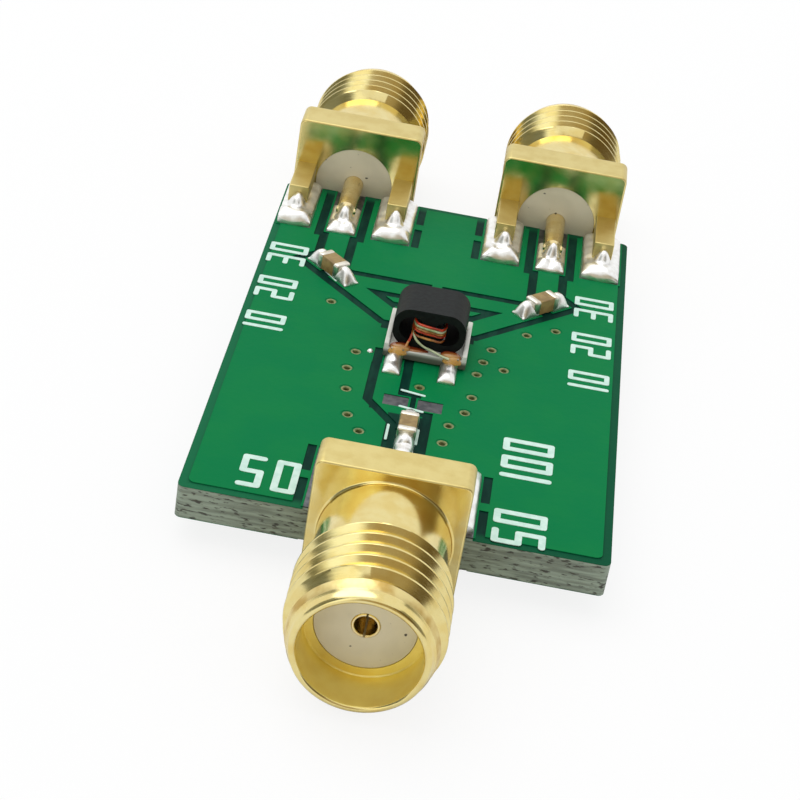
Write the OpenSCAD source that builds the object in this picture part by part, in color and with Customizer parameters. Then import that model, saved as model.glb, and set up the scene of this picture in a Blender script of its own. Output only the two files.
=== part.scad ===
/* [Board] */
// Width of the board, side to side
board_w = 18; // [17.5:0.5:24]
// Length of the board, from the front edge to the rear edge
board_l = 29; // [28:0.5:36]
// Thickness of the glass-fibre laminate alone
laminate_t = 1.5; // [1.2:0.1:1.8]
// Thickness of the copper on each face
foil_t = 0.05; // [0.03:0.01:0.07]
// Thickness of the green solder mask over copper or laminate
mask_t = 0.03; // [0.02:0.01:0.04]
// Bare laminate left between the copper and the board's edges
edge_clear = 0.4; // [0.2:0.1:0.6]
// How far the printed pattern, and all that is soldered to it, sits off the board's middle
pattern_x = -0.25; // [-0.4:0.05:0.4]
// Radius of the board's corners
corner_r = 0.3; // [0.1:0.1:0.6]
// Bare laminate left between a connector's pads and the board's edges
pad_clear = 0.15; // [0.1:0.05:0.3]

/* [Copper pattern] */
// Width of the signal tracks
track_w = 1; // [0.8:0.1:1.1]
// Gap between a signal track and the ground copper around it
track_gap = 0.5; // [0.4:0.05:0.55]
// How far the solder mask stands back from the copper of a pad
mask_margin = 0.06; // [0.03:0.01:0.1]
// Width of the pads under the connectors' legs
leg_pad_w = 2.1; // [1.8:0.1:2.2]
// Length of the pads under the connectors' legs and centre pins
leg_pad_l = 4.65; // [4.4:0.05:4.9]
// Width of the pads under the centre pins
pin_pad_w = 1.6; // [1.4:0.1:1.7]
// Gap beside each leg pad, which keeps its heat from the ground copper
relief_gap = 0.45; // [0.3:0.05:0.5]
// Width of the copper bridge across such a gap
relief_bridge = 0.5; // [0.3:0.1:0.8]
// Drilled diameter of the small plated holes
via_drill = 0.42; // [0.36:0.02:0.46]
// Wall of the copper plating in those holes
via_wall = 0.06; // [0.04:0.01:0.08]
// Copper ring that the mask leaves open round each of those holes
via_ring_d = 0.62; // [0.56:0.02:0.7]

/* [Connectors] */
// Distance between the axes of the two rear connectors
rear_pitch = 10.7; // [10.3:0.1:11]
// Side of the square flange
flange_w = 6.35; // [6.25:0.05:6.5]
// Thickness of the flange
flange_t = 1.85; // [1.5:0.05:2.2]
// Radius of the flange's corners
flange_r = 0.35; // [0.1:0.05:0.6]
// Diameter of the neck between the flange and the thread
neck_d = 5.45; // [5.2:0.05:5.7]
// Length of that neck
neck_l = 3; // [2.7:0.05:3.1]
// Outside diameter of the thread
thread_d = 6.35; // [6.1:0.05:6.35]
// Distance from one thread crest to the next
thread_pitch = 0.706; // [0.69:0.002:0.714]
// Number of crests
thread_crests = 5; // [3:1:5]
// Width of the flat on a crest
crest_w = 0.09; // [0.05:0.01:0.15]
// Diameter at the bottom of the grooves
root_d = 5.5; // [5.4:0.05:5.7]
// Diameter of the worn lead in front of the last groove
lead_d = 5.9; // [5.8:0.05:6]
// Diameter of the plain rim round the mouth
rim_d = 5.5; // [5.35:0.05:5.7]
// Length of that rim
rim_l = 0.4; // [0.3:0.05:0.5]
// Whole length of the barrel in front of the flange
barrel_l = 7.6; // [7.5:0.1:8.4]
// Bore of the open mouth
mouth_d = 4.8; // [4.6:0.05:4.85]
// Depth of the mouth, down to the white insulator
mouth_depth = 1.9; // [1.6:0.1:2.2]
// Width of the bevels on both edges of the mouth
mouth_bevel = 0.1; // [0.06:0.02:0.12]
// Diameter of the white insulator
insulator_d = 4; // [3.9:0.05:4.05]
// Diameter of the centre contact inside the insulator
contact_d = 1.24; // [1.2:0.02:1.3]
// Bore of the contact's socket
socket_d = 0.9; // [0.84:0.02:0.94]
// Depth of that socket
socket_depth = 2.6; // [2:0.1:3]
// Width of the slit across the socket
slit_w = 0.12; // [0.1:0.02:0.2]
// Length of that slit
slit_l = 1.7; // [1.2:0.1:1.9]
// Diameter of the contact's rear pin, which lies on the board
pin_d = 1; // [0.9:0.02:1.1]
// How far the rear pin reaches over the board
pin_l = 4; // [3.6:0.1:4.4]
// Width of the four legs that grip the board
leg_w = 1; // [0.9:0.05:1]
// Distance between the middles of the left and right legs
leg_pitch = 5.08; // [5.08:0.02:5.12]
// Height of the two upper legs
leg_h = 1.3; // [1:0.05:1.4]
// Length of the legs from the flange
leg_l = 4.2; // [3.8:0.1:4.4]
// Play under the board, between it and the two lower legs
leg_play = 0.07; // [0.03:0.01:0.1]

/* [Capacitors] */
// Length of a capacitor over its metal ends
cap_l = 1.6; // [1.5:0.05:1.65]
// Width of a capacitor
cap_w = 0.85; // [0.75:0.05:0.9]
// Height of a capacitor
cap_h = 0.8; // [0.5:0.05:0.85]
// Length of each metal end
cap_end_l = 0.35; // [0.25:0.05:0.45]
// How far the metal ends stand proud of the ceramic
cap_end_t = 0.03; // [0.02:0.01:0.05]
// Length of a pad under a capacitor's end
cap_pad_l = 1.25; // [1.1:0.05:1.3]
// How far the opening over such a pad reaches out past the capacitor's sides
cap_pad_side = 0.02; // [0.01:0.01:0.04]
// How far such a pad reaches in past the end's metal
cap_pad_in = 0.1; // [0.1:0.01:0.14]
// Distance of the front capacitor from the front edge
front_cap_in = 6.9; // [6.7:0.1:7.1]
// Distance of the empty pair of pads from the front edge
empty_pads_in = 9.5; // [9.4:0.1:9.6]
// Clear distance between the two pads of the empty pair
empty_pads_gap = 0.3; // [0.26:0.02:0.4]
// How far the track between the rear capacitors lies behind the middles of their inner pads
cross_up = 0.2; // [0.1:0.05:0.3]
// How far each rear capacitor sits inwards of its connector's axis
rear_cap_x = 0.2; // [0.1:0.05:0.3]
// Distance of the rear capacitors from the rear edge
rear_cap_in = 8.75; // [8.6:0.05:8.9]

/* [Transformer] */
// Width of the white base
base_w = 3.85; // [3.7:0.05:4]
// Depth of the white base, front to rear
base_d = 3.4; // [3.35:0.05:3.6]
// Height of the white base's floor
base_t = 0.45; // [0.4:0.05:0.6]
// Height of the base's two side rails over its floor
rail_h = 0.25; // [0.15:0.05:0.35]
// Clearance between the core and each rail
rail_clear = 0.03; // [0.02:0.01:0.05]
// Distance of the transformer's middle from the front edge
transformer_in = 14.75; // [14.6:0.05:14.85]
// How far the transformer sits to the right of the middle of its pads
transformer_x = 0.1; // [0:0.02:0.1]
// Width of the dark ferrite core
core_w = 3.35; // [3.2:0.05:3.4]
// Height of the core
core_h = 1.95; // [1.9:0.05:2.1]
// Depth of the core, front to rear
core_d = 2.5; // [2.3:0.05:2.5]
// Radius of the core's long edges
core_r = 0.82; // [0.7:0.02:0.86]
// Diameter of the two holes through the core
core_hole_d = 1.2; // [1.18:0.01:1.24]
// Distance between those two holes
core_hole_pitch = 1.6; // [1.56:0.02:1.64]
// Diameter of the enamelled wires
wire_d = 0.115; // [0.1:0.005:0.12]
// Clear distance between one row of wire and the next
wire_clear = 0.01; // [0.005:0.005:0.015]
// How far the wires sit inwards of the middle of their hole
wire_in = 0.1; // [0.05:0.01:0.12]
// Distance between the two terminals on one side
terminal_pitch = 2.54; // [2.4:0.02:2.6]
// Width of a terminal
terminal_w = 0.6; // [0.5:0.05:0.7]
// Thickness of a terminal
terminal_t = 0.1; // [0.08:0.02:0.16]
// How far a terminal's foot stands out of the base
terminal_out = 0.75; // [0.6:0.05:0.9]
// Width of the pads under the terminals
terminal_pad_w = 0.95; // [0.9:0.05:1.05]
// Length of those pads
terminal_pad_l = 1.75; // [1.7:0.05:1.85]
// How far those pads reach in under the base
terminal_pad_in = 0.3; // [0.2:0.05:0.4]
// Clearance between a terminal's tab and the core
tab_clear = 0.1; // [0.05:0.01:0.12]
// How far from the core's middle the wires rise to it from their terminals
lead_x = 1; // [0.98:0.01:1.02]
// Diameter of the drops of varnish on the tabs
varnish_d = 0.8; // [0.7:0.05:0.9]

/* [Solder] */
// Length of the bare metal between the flange and the solder on the legs
solder_bare = 1.5; // [0.6:0.1:1.8]
// Thickness of the solder over the top of a leg or a centre pin
solder_over = 0.08; // [0.04:0.01:0.12]
// Length of the solder on the end of a centre pin
pin_solder_l = 2.6; // [2.2:0.1:3]
// Share of the height of the metal beside it that solder reaches where it doesn't cover that metal
solder_climb = 0.8; // [0.6:0.05:0.9]
// Share of a lump of solder that its flat top takes, both ways
solder_flat = 0.5; // [0.3:0.05:0.6]

/* [Hidden] */

$fn = 48;
// A small overlap that keeps a cut from ending on the face it cuts
cut = 0.01;
// Segments of a rounded corner drawn as a polygon
arc_steps = 8;

// Heights over the surface that the connectors' flanges rest on
axis_z = flange_w / 2;
foil_top_z = axis_z - pin_d / 2;
laminate_top_z = foil_top_z - foil_t;
laminate_base_z = laminate_top_z - laminate_t;
foil_base_z = laminate_base_z - foil_t;

// Places across and along the board, measured from its middle
front_y = -board_l / 2;
rear_y = board_l / 2;
front_cap_y = front_y + front_cap_in;
empty_pads_y = front_y + empty_pads_in;
rear_cap_y = rear_y - rear_cap_in;
transformer_y = front_y + transformer_in;
rear_x = rear_pitch / 2;
leg_x = leg_pitch / 2;

// Clear distance between a capacitor's two pads, and their width
cap_pad_gap = cap_l - 2 * (cap_end_l + cap_pad_in);
cap_pad_w = cap_w + 2 * (cap_pad_side + mask_margin);

// How far the middle of a pad lies from the middle of its pair
cap_reach = (cap_pad_gap + cap_pad_l) / 2;
empty_reach = (empty_pads_gap + cap_pad_l) / 2;
terminal_x = terminal_pitch / 2;
terminal_pad_y = base_d / 2 - terminal_pad_in + terminal_pad_l / 2;

// Outlines made of straight lines and arcs
function arc(centre, r, from, to, steps = arc_steps) =
    [for (i = [0:steps]) let (a = from + (to - from) * i / steps) centre + r * [cos(a), sin(a)]];
function rounded(w, h, r) =
    let (x = w / 2 - r, y = h / 2 - r)
    concat(arc([x, y], r, 0, 90), arc([-x, y], r, 90, 180),
        arc([-x, -y], r, 180, 270), arc([x, -y], r, 270, 360));

// A track is a line of points given a width, with mitred bends
function unit(v) = v / norm(v);
function left_of(v) = [-v.y, v.x];
function side_at(line, i) =
    let (last = len(line) - 1,
         before = left_of(unit(line[max(i, 1)] - line[max(i, 1) - 1])),
         after = left_of(unit(line[min(i, last - 1) + 1] - line[min(i, last - 1)])))
    (before + after) / (1 + before * after);
function ribbon(line, w) = concat(
    [for (i = [0:len(line) - 1]) line[i] + side_at(line, i) * w / 2],
    [for (i = [len(line) - 1:-1:0]) line[i] - side_at(line, i) * w / 2]);

// The rear capacitor on the right, turned by 45 degrees, and the middles of its two pads
diagonal = unit([1, 1]);
rear_cap = [rear_x - rear_cap_x, rear_cap_y];
rear_cap_outer = rear_cap + diagonal * cap_reach;
rear_cap_inner = rear_cap - diagonal * cap_reach;

// The signal tracks, as lines about the pattern's own middle
front_terminal_y = transformer_y - terminal_pad_y;
rear_terminal_y = transformer_y + terminal_pad_y;
cross_y = rear_cap_inner.y + cross_up;
front_line = [[0, front_y + pad_clear], [0, front_cap_y - cap_reach]];
matching_line = [[0, front_cap_y + cap_reach], [-terminal_x, empty_pads_y], [-terminal_x, front_terminal_y]];
rear_line = [[rear_x, rear_y - pad_clear], [rear_x, rear_cap_outer.y + cross_up / 2], rear_cap_outer];
inner_line = [rear_cap_inner, [rear_cap_inner.x - rear_cap_inner.y + rear_terminal_y, rear_terminal_y],
    [terminal_x, rear_terminal_y]];
cross_line = [[rear_cap_inner.x, cross_y], [track_gap / 2, cross_y]];

// The plated holes, about the pattern's own middle
via_places = [[-4.8, 2.8], [-3.05, -1.4], [-3.25, -2.95], [-3.05, -4.75], [-2.7, -6.85], [-2.05, -8],
    [1.6, -7.75], [1.75, -6.25], [2.35, -4.95], [2.55, -3.55], [2.6, -1.45], [2.8, -0.25], [3.1, 1],
    [3.8, -0.65], [4.65, 3], [6, 3.9], [0.15, -3.5]];

module mirrored() {
    children();
    mirror([1, 0, 0]) children();
}

module slab(z, t) {
    translate([0, 0, z]) linear_extrude(t) children();
}

module pad(centre, size, turn = 0) {
    translate(centre) rotate(turn) square(size, center = true);
}

// Places for the three connectors, whose barrels point along +Y there
module at_front() {
    translate([pattern_x, front_y, axis_z]) rotate(180) children();
}

module at_rear(side) {
    translate([pattern_x + side * rear_x, rear_y, axis_z]) children();
}

// Places for the three capacitors, whose length lies along X there
module at_front_cap() {
    translate([pattern_x, front_cap_y, foil_top_z]) rotate(90) children();
}

module at_rear_cap(side) {
    translate([pattern_x + side * rear_cap.x, rear_cap.y, foil_top_z]) rotate(side * 45) children();
}

module at_terminal_pads() {
    translate([pattern_x, transformer_y, foil_top_z]) children();
}

module at_transformer() {
    at_terminal_pads() translate([transformer_x, 0, 0]) children();
}

// The outer end of the pads under each connector, on the board's face
module at_leg_pads() {
    translate([pattern_x, 0]) {
        translate([0, front_y + pad_clear]) rotate(180) children();
        mirrored() translate([rear_x, rear_y - pad_clear]) children();
    }
}

module board_outline() {
    polygon(rounded(board_w, board_l, corner_r));
}

module via_holes(d) {
    translate([pattern_x, 0]) for (place = via_places) translate(place) circle(d = d, $fn = 20);
}

// A pad under a leg or a centre pin, which can be lengthened outwards past the board's edge
module edge_pad(x, w, inset, out) {
    size = [w, leg_pad_l] - 2 * inset * [1, 1];
    translate([x - size.x / 2, inset - leg_pad_l]) square(size + [0, out]);
}

// Signal copper, grown by a margin for the gap round it
module signal_copper(grow) {
    more = 2 * grow * [1, 1];
    cap_pad = [cap_pad_l, cap_pad_w] + more;
    terminal_pad = [terminal_pad_w, terminal_pad_l] + more;
    pin_pads(-grow);
    translate([pattern_x, 0]) {
        polygon(ribbon(front_line, track_w + 2 * grow));
        polygon(ribbon(matching_line, track_w + 2 * grow));
        pad([0, front_cap_y - cap_reach], cap_pad, 90);
        pad([0, front_cap_y + cap_reach], cap_pad, 90);
        pad([-empty_reach, empty_pads_y], cap_pad);
        pad([-terminal_x, front_terminal_y], terminal_pad);
        mirrored() {
            polygon(ribbon(rear_line, track_w + 2 * grow));
            polygon(ribbon(inner_line, track_w + 2 * grow));
            polygon(ribbon(cross_line, track_w + 2 * grow));
            pad(rear_cap_outer, cap_pad, 45);
            pad(rear_cap_inner, cap_pad, 45);
            pad([terminal_x, rear_terminal_y], terminal_pad);
        }
    }
}

// The gaps on both sides of a connector's leg pads, each broken by a bridge of copper
module relief(inset) {
    stretch = (leg_pad_l - relief_bridge) / 2;
    for (side = [-1, 1], end = [0, 1])
        pad([side * (leg_x + (leg_pad_w + relief_gap) / 2), -stretch / 2 - end * (stretch + relief_bridge)],
            [relief_gap, stretch] - 2 * inset * [1, 1]);
}

// Bare laminate round the signal copper, where the empty pair's ground pad reaches in
module gaps(inset) {
    difference() {
        signal_copper(track_gap - inset);
        signal_copper(inset);
        pad([pattern_x + empty_reach, empty_pads_y], [cap_pad_l, cap_pad_w] + 2 * inset * [1, 1]);
    }
    at_leg_pads() relief(inset);
}

// What is soldered at a side edge stops short of it
module clear_of_sides(inset) {
    square([board_w - 2 * (pad_clear + inset), board_l + 2 * cut], center = true);
}

module leg_pads(inset, out = 0) {
    intersection() {
        at_leg_pads() for (side = [-1, 1]) edge_pad(side * leg_x, leg_pad_w, inset, out);
        clear_of_sides(inset);
    }
}

module pin_pads(inset, out = 0) {
    at_leg_pads() edge_pad(0, pin_pad_w, inset, out);
}

// The outline of the copper on both faces, and what lies beside it
module copper_field(grow) {
    polygon(rounded(board_w - 2 * (edge_clear - grow), board_l - 2 * (edge_clear - grow), corner_r));
}

module border(grow) {
    difference() {
        square([board_w, board_l] + 2 * edge_clear * [1, 1], center = true);
        copper_field(grow);
        leg_pads(-grow);
    }
}

module top_copper_shape() {
    difference() {
        copper_field(0);
        gaps(0);
    }
    leg_pads(0);
    pin_pads(0);
}

module under_copper_shape() {
    difference() {
        copper_field(0);
        at_leg_pads() relief(0);
    }
    leg_pads(0);
}

// Openings in the mask for all that is soldered, which run out over the edge at the connectors
open_out = pad_clear + mask_margin + cut;

module opening(centre, size, turn = 0) {
    pad(centre, size - 2 * mask_margin * [1, 1], turn);
}

module cap_openings(reach) {
    for (side = [-1, 1]) opening([side * reach, 0], [cap_pad_l, cap_pad_w]);
}

module top_openings() {
    leg_pads(mask_margin, open_out);
    pin_pads(mask_margin, open_out);
    translate([pattern_x, 0]) {
        // The front track is bare from its pin to its capacitor
        polygon(ribbon(front_line, cap_pad_w - 2 * mask_margin));
        translate([0, front_cap_y]) rotate(90) cap_openings(cap_reach);
        translate([0, empty_pads_y]) cap_openings(empty_reach);
        mirrored() translate(rear_cap) rotate(45) cap_openings(cap_reach);
        for (x = [-1, 1], y = [-1, 1])
            opening([x * terminal_x, transformer_y + y * terminal_pad_y], [terminal_pad_w, terminal_pad_l]);
    }
    via_holes(via_ring_d);
}

module laminate() {
    color("darkkhaki") difference() {
        slab(laminate_base_z, laminate_t) board_outline();
        slab(laminate_base_z - cut, laminate_t + 2 * cut) via_holes(via_drill);
    }
}

module copper_top() {
    color("peru") difference() {
        slab(laminate_top_z, foil_t) top_copper_shape();
        slab(laminate_top_z - cut, foil_t + 2 * cut) via_holes(via_drill);
    }
}

module copper_underside() {
    color("peru") difference() {
        slab(foil_base_z, foil_t) under_copper_shape();
        slab(foil_base_z - cut, foil_t + 2 * cut) via_holes(via_drill);
    }
}

// The mask follows what it covers, so it lies lower where no copper is under it
module solder_mask_top() {
    color("seagreen") difference() {
        slab(laminate_top_z, foil_t + mask_t) board_outline();
        slab(laminate_top_z + mask_t, foil_t + cut) {
            difference() {
                border(mask_t);
                pin_pads(-mask_t);
            }
            gaps(mask_t);
        }
        slab(laminate_top_z - cut, foil_t + cut) top_copper_shape();
        slab(laminate_top_z - cut, foil_t + mask_t + 2 * cut) top_openings();
    }
}

module solder_mask_underside() {
    color("seagreen") difference() {
        slab(foil_base_z - mask_t, foil_t + mask_t) board_outline();
        slab(foil_base_z - mask_t - cut, foil_t + cut) {
            border(mask_t);
            at_leg_pads() relief(mask_t);
        }
        slab(foil_base_z, foil_t + cut) under_copper_shape();
        slab(foil_base_z - mask_t - cut, foil_t + mask_t + 2 * cut) {
            leg_pads(mask_margin, open_out);
            via_holes(via_ring_d);
        }
    }
}

module via_plating() {
    color("peru") slab(foil_base_z, foil_top_z - foil_base_z) difference() {
        via_holes(via_drill);
        via_holes(via_drill - 2 * via_wall);
    }
}

// Round things on a connector's axis, between two distances from the board's edge
module turned(d, from, to) {
    translate([0, from, 0]) rotate([-90, 0, 0]) cylinder(d = d, h = to - from);
}

mouth_y = flange_t + barrel_l;
insulator_y = mouth_y - mouth_depth;

// The barrel is turned from one profile: neck, thread, lead and rim. The crests are plain rings
thread_from = flange_t + neck_l;
thread_to = thread_from + thread_crests * thread_pitch;
flank_l = (thread_pitch - crest_w) / 2;
function crest(from) = [[root_d / 2, from], [thread_d / 2, from + flank_l],
    [thread_d / 2, from + flank_l + crest_w]];

module barrel() {
    crests = [for (i = [0:thread_crests - 1]) each crest(thread_from + i * thread_pitch)];
    rotate([-90, 0, 0]) rotate_extrude() polygon(concat(
        [[0, flange_t - cut], [neck_d / 2, flange_t - cut], [neck_d / 2, thread_from]], crests,
        [[root_d / 2, thread_to], [lead_d / 2, thread_to + (lead_d - root_d) / 2],
         [rim_d / 2, mouth_y - rim_l], [rim_d / 2, mouth_y - mouth_bevel],
         [rim_d / 2 - mouth_bevel, mouth_y], [0, mouth_y]]));
}

// The upper legs lie on the board's copper, and the lower ones are flush with the flange's underside
module legs() {
    for (side = [-1, 1]) translate([side * leg_x - leg_w / 2, -leg_l, 0]) {
        translate([0, 0, foil_top_z - axis_z]) cube([leg_w, leg_l + cut, leg_h]);
        translate([0, 0, -axis_z]) cube([leg_w, leg_l + cut, foil_base_z - leg_play]);
    }
}

module connector_body() {
    color("goldenrod") difference() {
        union() {
            translate([0, flange_t, 0]) rotate([90, 0, 0]) linear_extrude(flange_t)
                polygon(rounded(flange_w, flange_w, flange_r));
            barrel();
            legs();
        }
        turned(insulator_d, -cut, insulator_y + cut);
        turned(mouth_d, insulator_y, mouth_y + cut);
        translate([0, mouth_y - mouth_bevel, 0]) rotate([-90, 0, 0])
            cylinder(d1 = mouth_d, d2 = mouth_d + 2 * (mouth_bevel + cut), h = mouth_bevel + cut);
    }
}

module connector_insulator() {
    color("linen") difference() {
        turned(insulator_d, 0, insulator_y);
        turned(pin_d, -cut, flange_t + cut);
        turned(contact_d, flange_t, insulator_y + cut);
    }
}

// The contact is thicker in front of its shoulder, so that it can't be pushed out at the rear
module connector_contact() {
    color("gold") difference() {
        union() {
            turned(pin_d, -pin_l, flange_t + cut);
            turned(contact_d, flange_t, insulator_y);
        }
        turned(socket_d, insulator_y - socket_depth, insulator_y + cut);
        translate([-slit_w / 2, insulator_y - slit_l, -contact_d])
            cube([slit_w, slit_l + cut, 2 * contact_d]);
    }
}

// Solder rises steeply from the edges of its pad and rounds over into a flat top
function swell(from, to, steps = 6) =
    [for (i = [0:steps]) let (a = 90 * i / steps)
        [from.x + (to.x - from.x) * (1 - cos(a)), from.y + (to.y - from.y) * sin(a)]];
function mound(w, top, h) =
    let (side = swell([-w / 2, 0], [-top / 2, h]), last = len(side) - 1)
    concat(side, [for (i = [last:-1:0]) [-side[i].x, side[i].y]]);

module solder_mound(size, h, flat = undef) {
    top = is_undef(flat) ? size * solder_flat : flat;
    intersection() {
        translate([0, size.y / 2, 0]) rotate([90, 0, 0]) linear_extrude(size.y)
            polygon(mound(size.x, top.x, h));
        translate([-size.x / 2, 0, 0]) rotate([90, 0, 90]) linear_extrude(size.x)
            polygon(mound(size.y, top.y, h));
    }
}

// The far end of a connector's solder, measured from the board's edge
solder_end = pad_clear + leg_pad_l - mask_margin;

module leg_solder(h) {
    size = [leg_pad_w - 2 * mask_margin, solder_end - solder_bare];
    for (side = [-1, 1]) translate([side * leg_x, size.y / 2 - solder_end, 0])
        solder_mound(size, h, [leg_w + 2 * solder_over, size.y - leg_w]);
}

// Solder over the legs and the centre pin, which leaves them bare near the flange
module connector_solder() {
    pin_size = [pin_pad_w - 2 * mask_margin, pin_solder_l];
    color("gainsboro") difference() {
        union() {
            translate([0, 0, foil_top_z - axis_z]) {
                leg_solder(leg_h + solder_over);
                translate([0, pin_size.y / 2 - solder_end, 0])
                    solder_mound(pin_size, pin_d + solder_over);
            }
            translate([0, 0, foil_base_z - axis_z]) mirror([0, 0, 1]) leg_solder(foil_base_z * solder_climb);
        }
        legs();
        turned(pin_d, -pin_l, cut);
    }
}

// The front pin's solder runs on along the bare track to the capacitor, from well inside the lump
module track_solder() {
    from = solder_end - 2 * solder_over;
    to = front_cap_in - cap_reach - cap_pad_l / 2 + mask_margin;
    size = [cap_pad_w - 2 * mask_margin, to - from];
    color("gainsboro") translate([0, -(from + to) / 2, foil_top_z - axis_z])
        solder_mound(size, 2 * solder_over);
}

module front_solder() {
    at_front() {
        connector_solder();
        track_solder();
    }
}

module rear_solder(side) {
    intersection() {
        at_rear(side) connector_solder();
        slab(0, flange_w) clear_of_sides(mask_margin);
    }
}

module capacitor_block(l, shrink) {
    translate([-l / 2, -cap_w / 2 + shrink, shrink]) cube([l, cap_w - 2 * shrink, cap_h - 2 * shrink]);
}

module capacitor_ceramic() {
    color("sienna") capacitor_block(cap_l - 2 * cap_end_t, cap_end_t);
}

module capacitor_ends() {
    color("silver") difference() {
        capacitor_block(cap_l, 0);
        capacitor_block(cap_l - 2 * cap_end_t, cap_end_t);
        cube([cap_l - 2 * cap_end_l, 2 * cap_w, 3 * cap_h], center = true);
    }
}

module capacitor_solder() {
    size = [cap_pad_l, cap_pad_w] - 2 * mask_margin * [1, 1];
    color("gainsboro") difference() {
        for (side = [-1, 1]) translate([side * cap_reach, 0, 0])
            solder_mound(size, cap_h * solder_climb);
        capacitor_block(cap_l, 0);
    }
}

// The transformer's heights over its pads
floor_z = terminal_t + base_t;
core_z = floor_z;
hole_z = core_z + core_h / 2;

module transformer_base() {
    rail_w = (base_w - core_w) / 2 - rail_clear;
    color("ivory") at_transformer() {
        translate([-base_w / 2, -base_d / 2, terminal_t]) cube([base_w, base_d, base_t]);
        mirrored() translate([base_w / 2 - rail_w, -base_d / 2, terminal_t])
            cube([rail_w, base_d, base_t + rail_h]);
    }
}

// One block of ferrite with rounded long edges and two round holes
module transformer_core() {
    color("dimgray") at_transformer() translate([0, 0, hole_z]) difference() {
        translate([0, core_d / 2, 0]) rotate([90, 0, 0]) linear_extrude(core_d)
            polygon(rounded(core_w, core_h, core_r));
        for (side = [-1, 1]) translate([side * core_hole_pitch / 2, 0, 0])
            turned(core_hole_d, -core_d / 2 - cut, core_d / 2 + cut);
    }
}

// Each terminal clips round the base's edge: a foot on its pad, a riser and a tab for the wires
tab_l = (base_d - core_d) / 2 - tab_clear;
foot_in = terminal_pad_in - 2 * mask_margin;
module transformer_terminals() {
    edge = base_d / 2;
    color("silver") at_transformer() for (x = [-1, 1], y = [0, 180])
        rotate(y) translate([x * terminal_x + terminal_w / 2, 0, 0]) rotate([90, 0, -90])
            linear_extrude(terminal_w) polygon([
                [edge - foot_in, 0], [edge + terminal_out, 0], [edge + terminal_out, terminal_t],
                [edge + terminal_t, terminal_t], [edge + terminal_t, floor_z + terminal_t],
                [edge - tab_l, floor_z + terminal_t], [edge - tab_l, floor_z],
                [edge, floor_z], [edge, terminal_t], [edge - foot_in, terminal_t]]);
}

// The wires lie in rows, one above another, and go round the core's middle wall
row_pitch = wire_d + wire_clear;
wires = 3;
turns = 2;
wire_x = core_hole_pitch / 2 - wire_in;
wire_y = core_d / 2 + wire_d / 2 + wire_clear;
top_row_z = hole_z + (wires * (turns + 1) - 1) / 2 * row_pitch;
function row_z(turn, wire) = top_row_z - (wires * turn + wire) * row_pitch;

// A turn crosses the core's front going down by one set of rows, and comes back behind it
function one_turn(turn, wire) =
    let (from = row_z(turn, wire), to = row_z(turn + 1, wire))
    [[-wire_x, -wire_y, from], [wire_x, -wire_y, to], [wire_x, wire_y, to], [-wire_x, wire_y, to]];

// A lead runs from the side of a terminal's tab, up beside the holes, to the height of its row
function lead(side, face, z, spread) =
    let (tab_x = terminal_x - terminal_w / 2,
         tab_y = (base_d - tab_l) / 2 + spread * row_pitch,
         tab_z = floor_z + terminal_t + wire_d / 2,
         up_x = lead_x - spread * row_pitch)
    [[side * tab_x, face * tab_y, tab_z], [side * (tab_x - wire_d), face * tab_y, tab_z],
     [side * up_x, face * (wire_y + wire_clear), z]];
function reversed(list) = [for (i = [len(list) - 1:-1:0]) list[i]];
function first(list, n) = [for (i = [0:n - 1]) list[i]];

red_path = concat(lead(-1, -1, row_z(0, 0), -1), one_turn(0, 0), first(one_turn(1, 0), 3),
    reversed(lead(1, 1, row_z(2, 0), 0)));
green_path = concat(lead(-1, 1, row_z(0, 1), 0), [[-wire_x, wire_y, row_z(0, 1)]], one_turn(0, 1),
    first(one_turn(1, 1), 2), reversed(lead(1, -1, row_z(2, 1), -1)));
copper_path = concat(lead(-1, -1, row_z(0, 2), 1), one_turn(0, 2), one_turn(1, 2),
    [[-wire_x, -wire_y, row_z(2, 2)]], reversed(first(lead(1, -1, 0, 1), 2)));

// Each bend of a path becomes a short curve
function curve(a, b, c, t) = (1 - t) * (1 - t) * a + 2 * t * (1 - t) * b + t * t * c;
function toward(from, to, reach) = from + min(reach, norm(to - from) * 0.45) * unit(to - from);
function bent(path, reach = wire_d, steps = 3) = concat([path[0]],
    [for (i = [1:len(path) - 2], s = [0:steps])
        curve(toward(path[i], path[i - 1], reach), path[i], toward(path[i], path[i + 1], reach), s / steps)],
    [path[len(path) - 1]]);

// Round tube along a path: the rings keep their turn from one point to the next
function along(path, i) = unit(path[min(i + 1, len(path) - 1)] - path[max(i - 1, 0)]);
function normals(path, before, i = 0) =
    i == len(path) ? [] :
    let (t = along(path, i), n = unit(before - (before * t) * t))
    concat([n], normals(path, n, i + 1));

// No wire runs along this direction, so each can start its rings from it
rings_up = unit([0, 1, 3]);

module wire(corners, sides = 8) {
    path = bent(corners);
    n = normals(path, rings_up);
    last = len(path) - 1;
    points = [for (i = [0:last], k = [0:sides - 1])
        let (a = 360 * k / sides, across = cross(along(path, i), n[i]))
        path[i] + wire_d / 2 * (cos(a) * n[i] + sin(a) * across)];
    walls = [for (i = [0:last - 1], k = [0:sides - 1])
        let (next = (k + 1) % sides)
        [i * sides + k, (i + 1) * sides + k, (i + 1) * sides + next, i * sides + next]];
    ends = [[for (k = [0:sides - 1]) k], [for (k = [sides - 1:-1:0]) last * sides + k]];
    at_transformer() polyhedron(points, concat(walls, ends), convexity = 6);
}

module transformer_wire_red() {
    color("firebrick") wire(red_path);
}

module transformer_wire_green() {
    color("olivedrab") wire(green_path);
}

module transformer_wire_copper() {
    color("chocolate") wire(copper_path);
}

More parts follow.
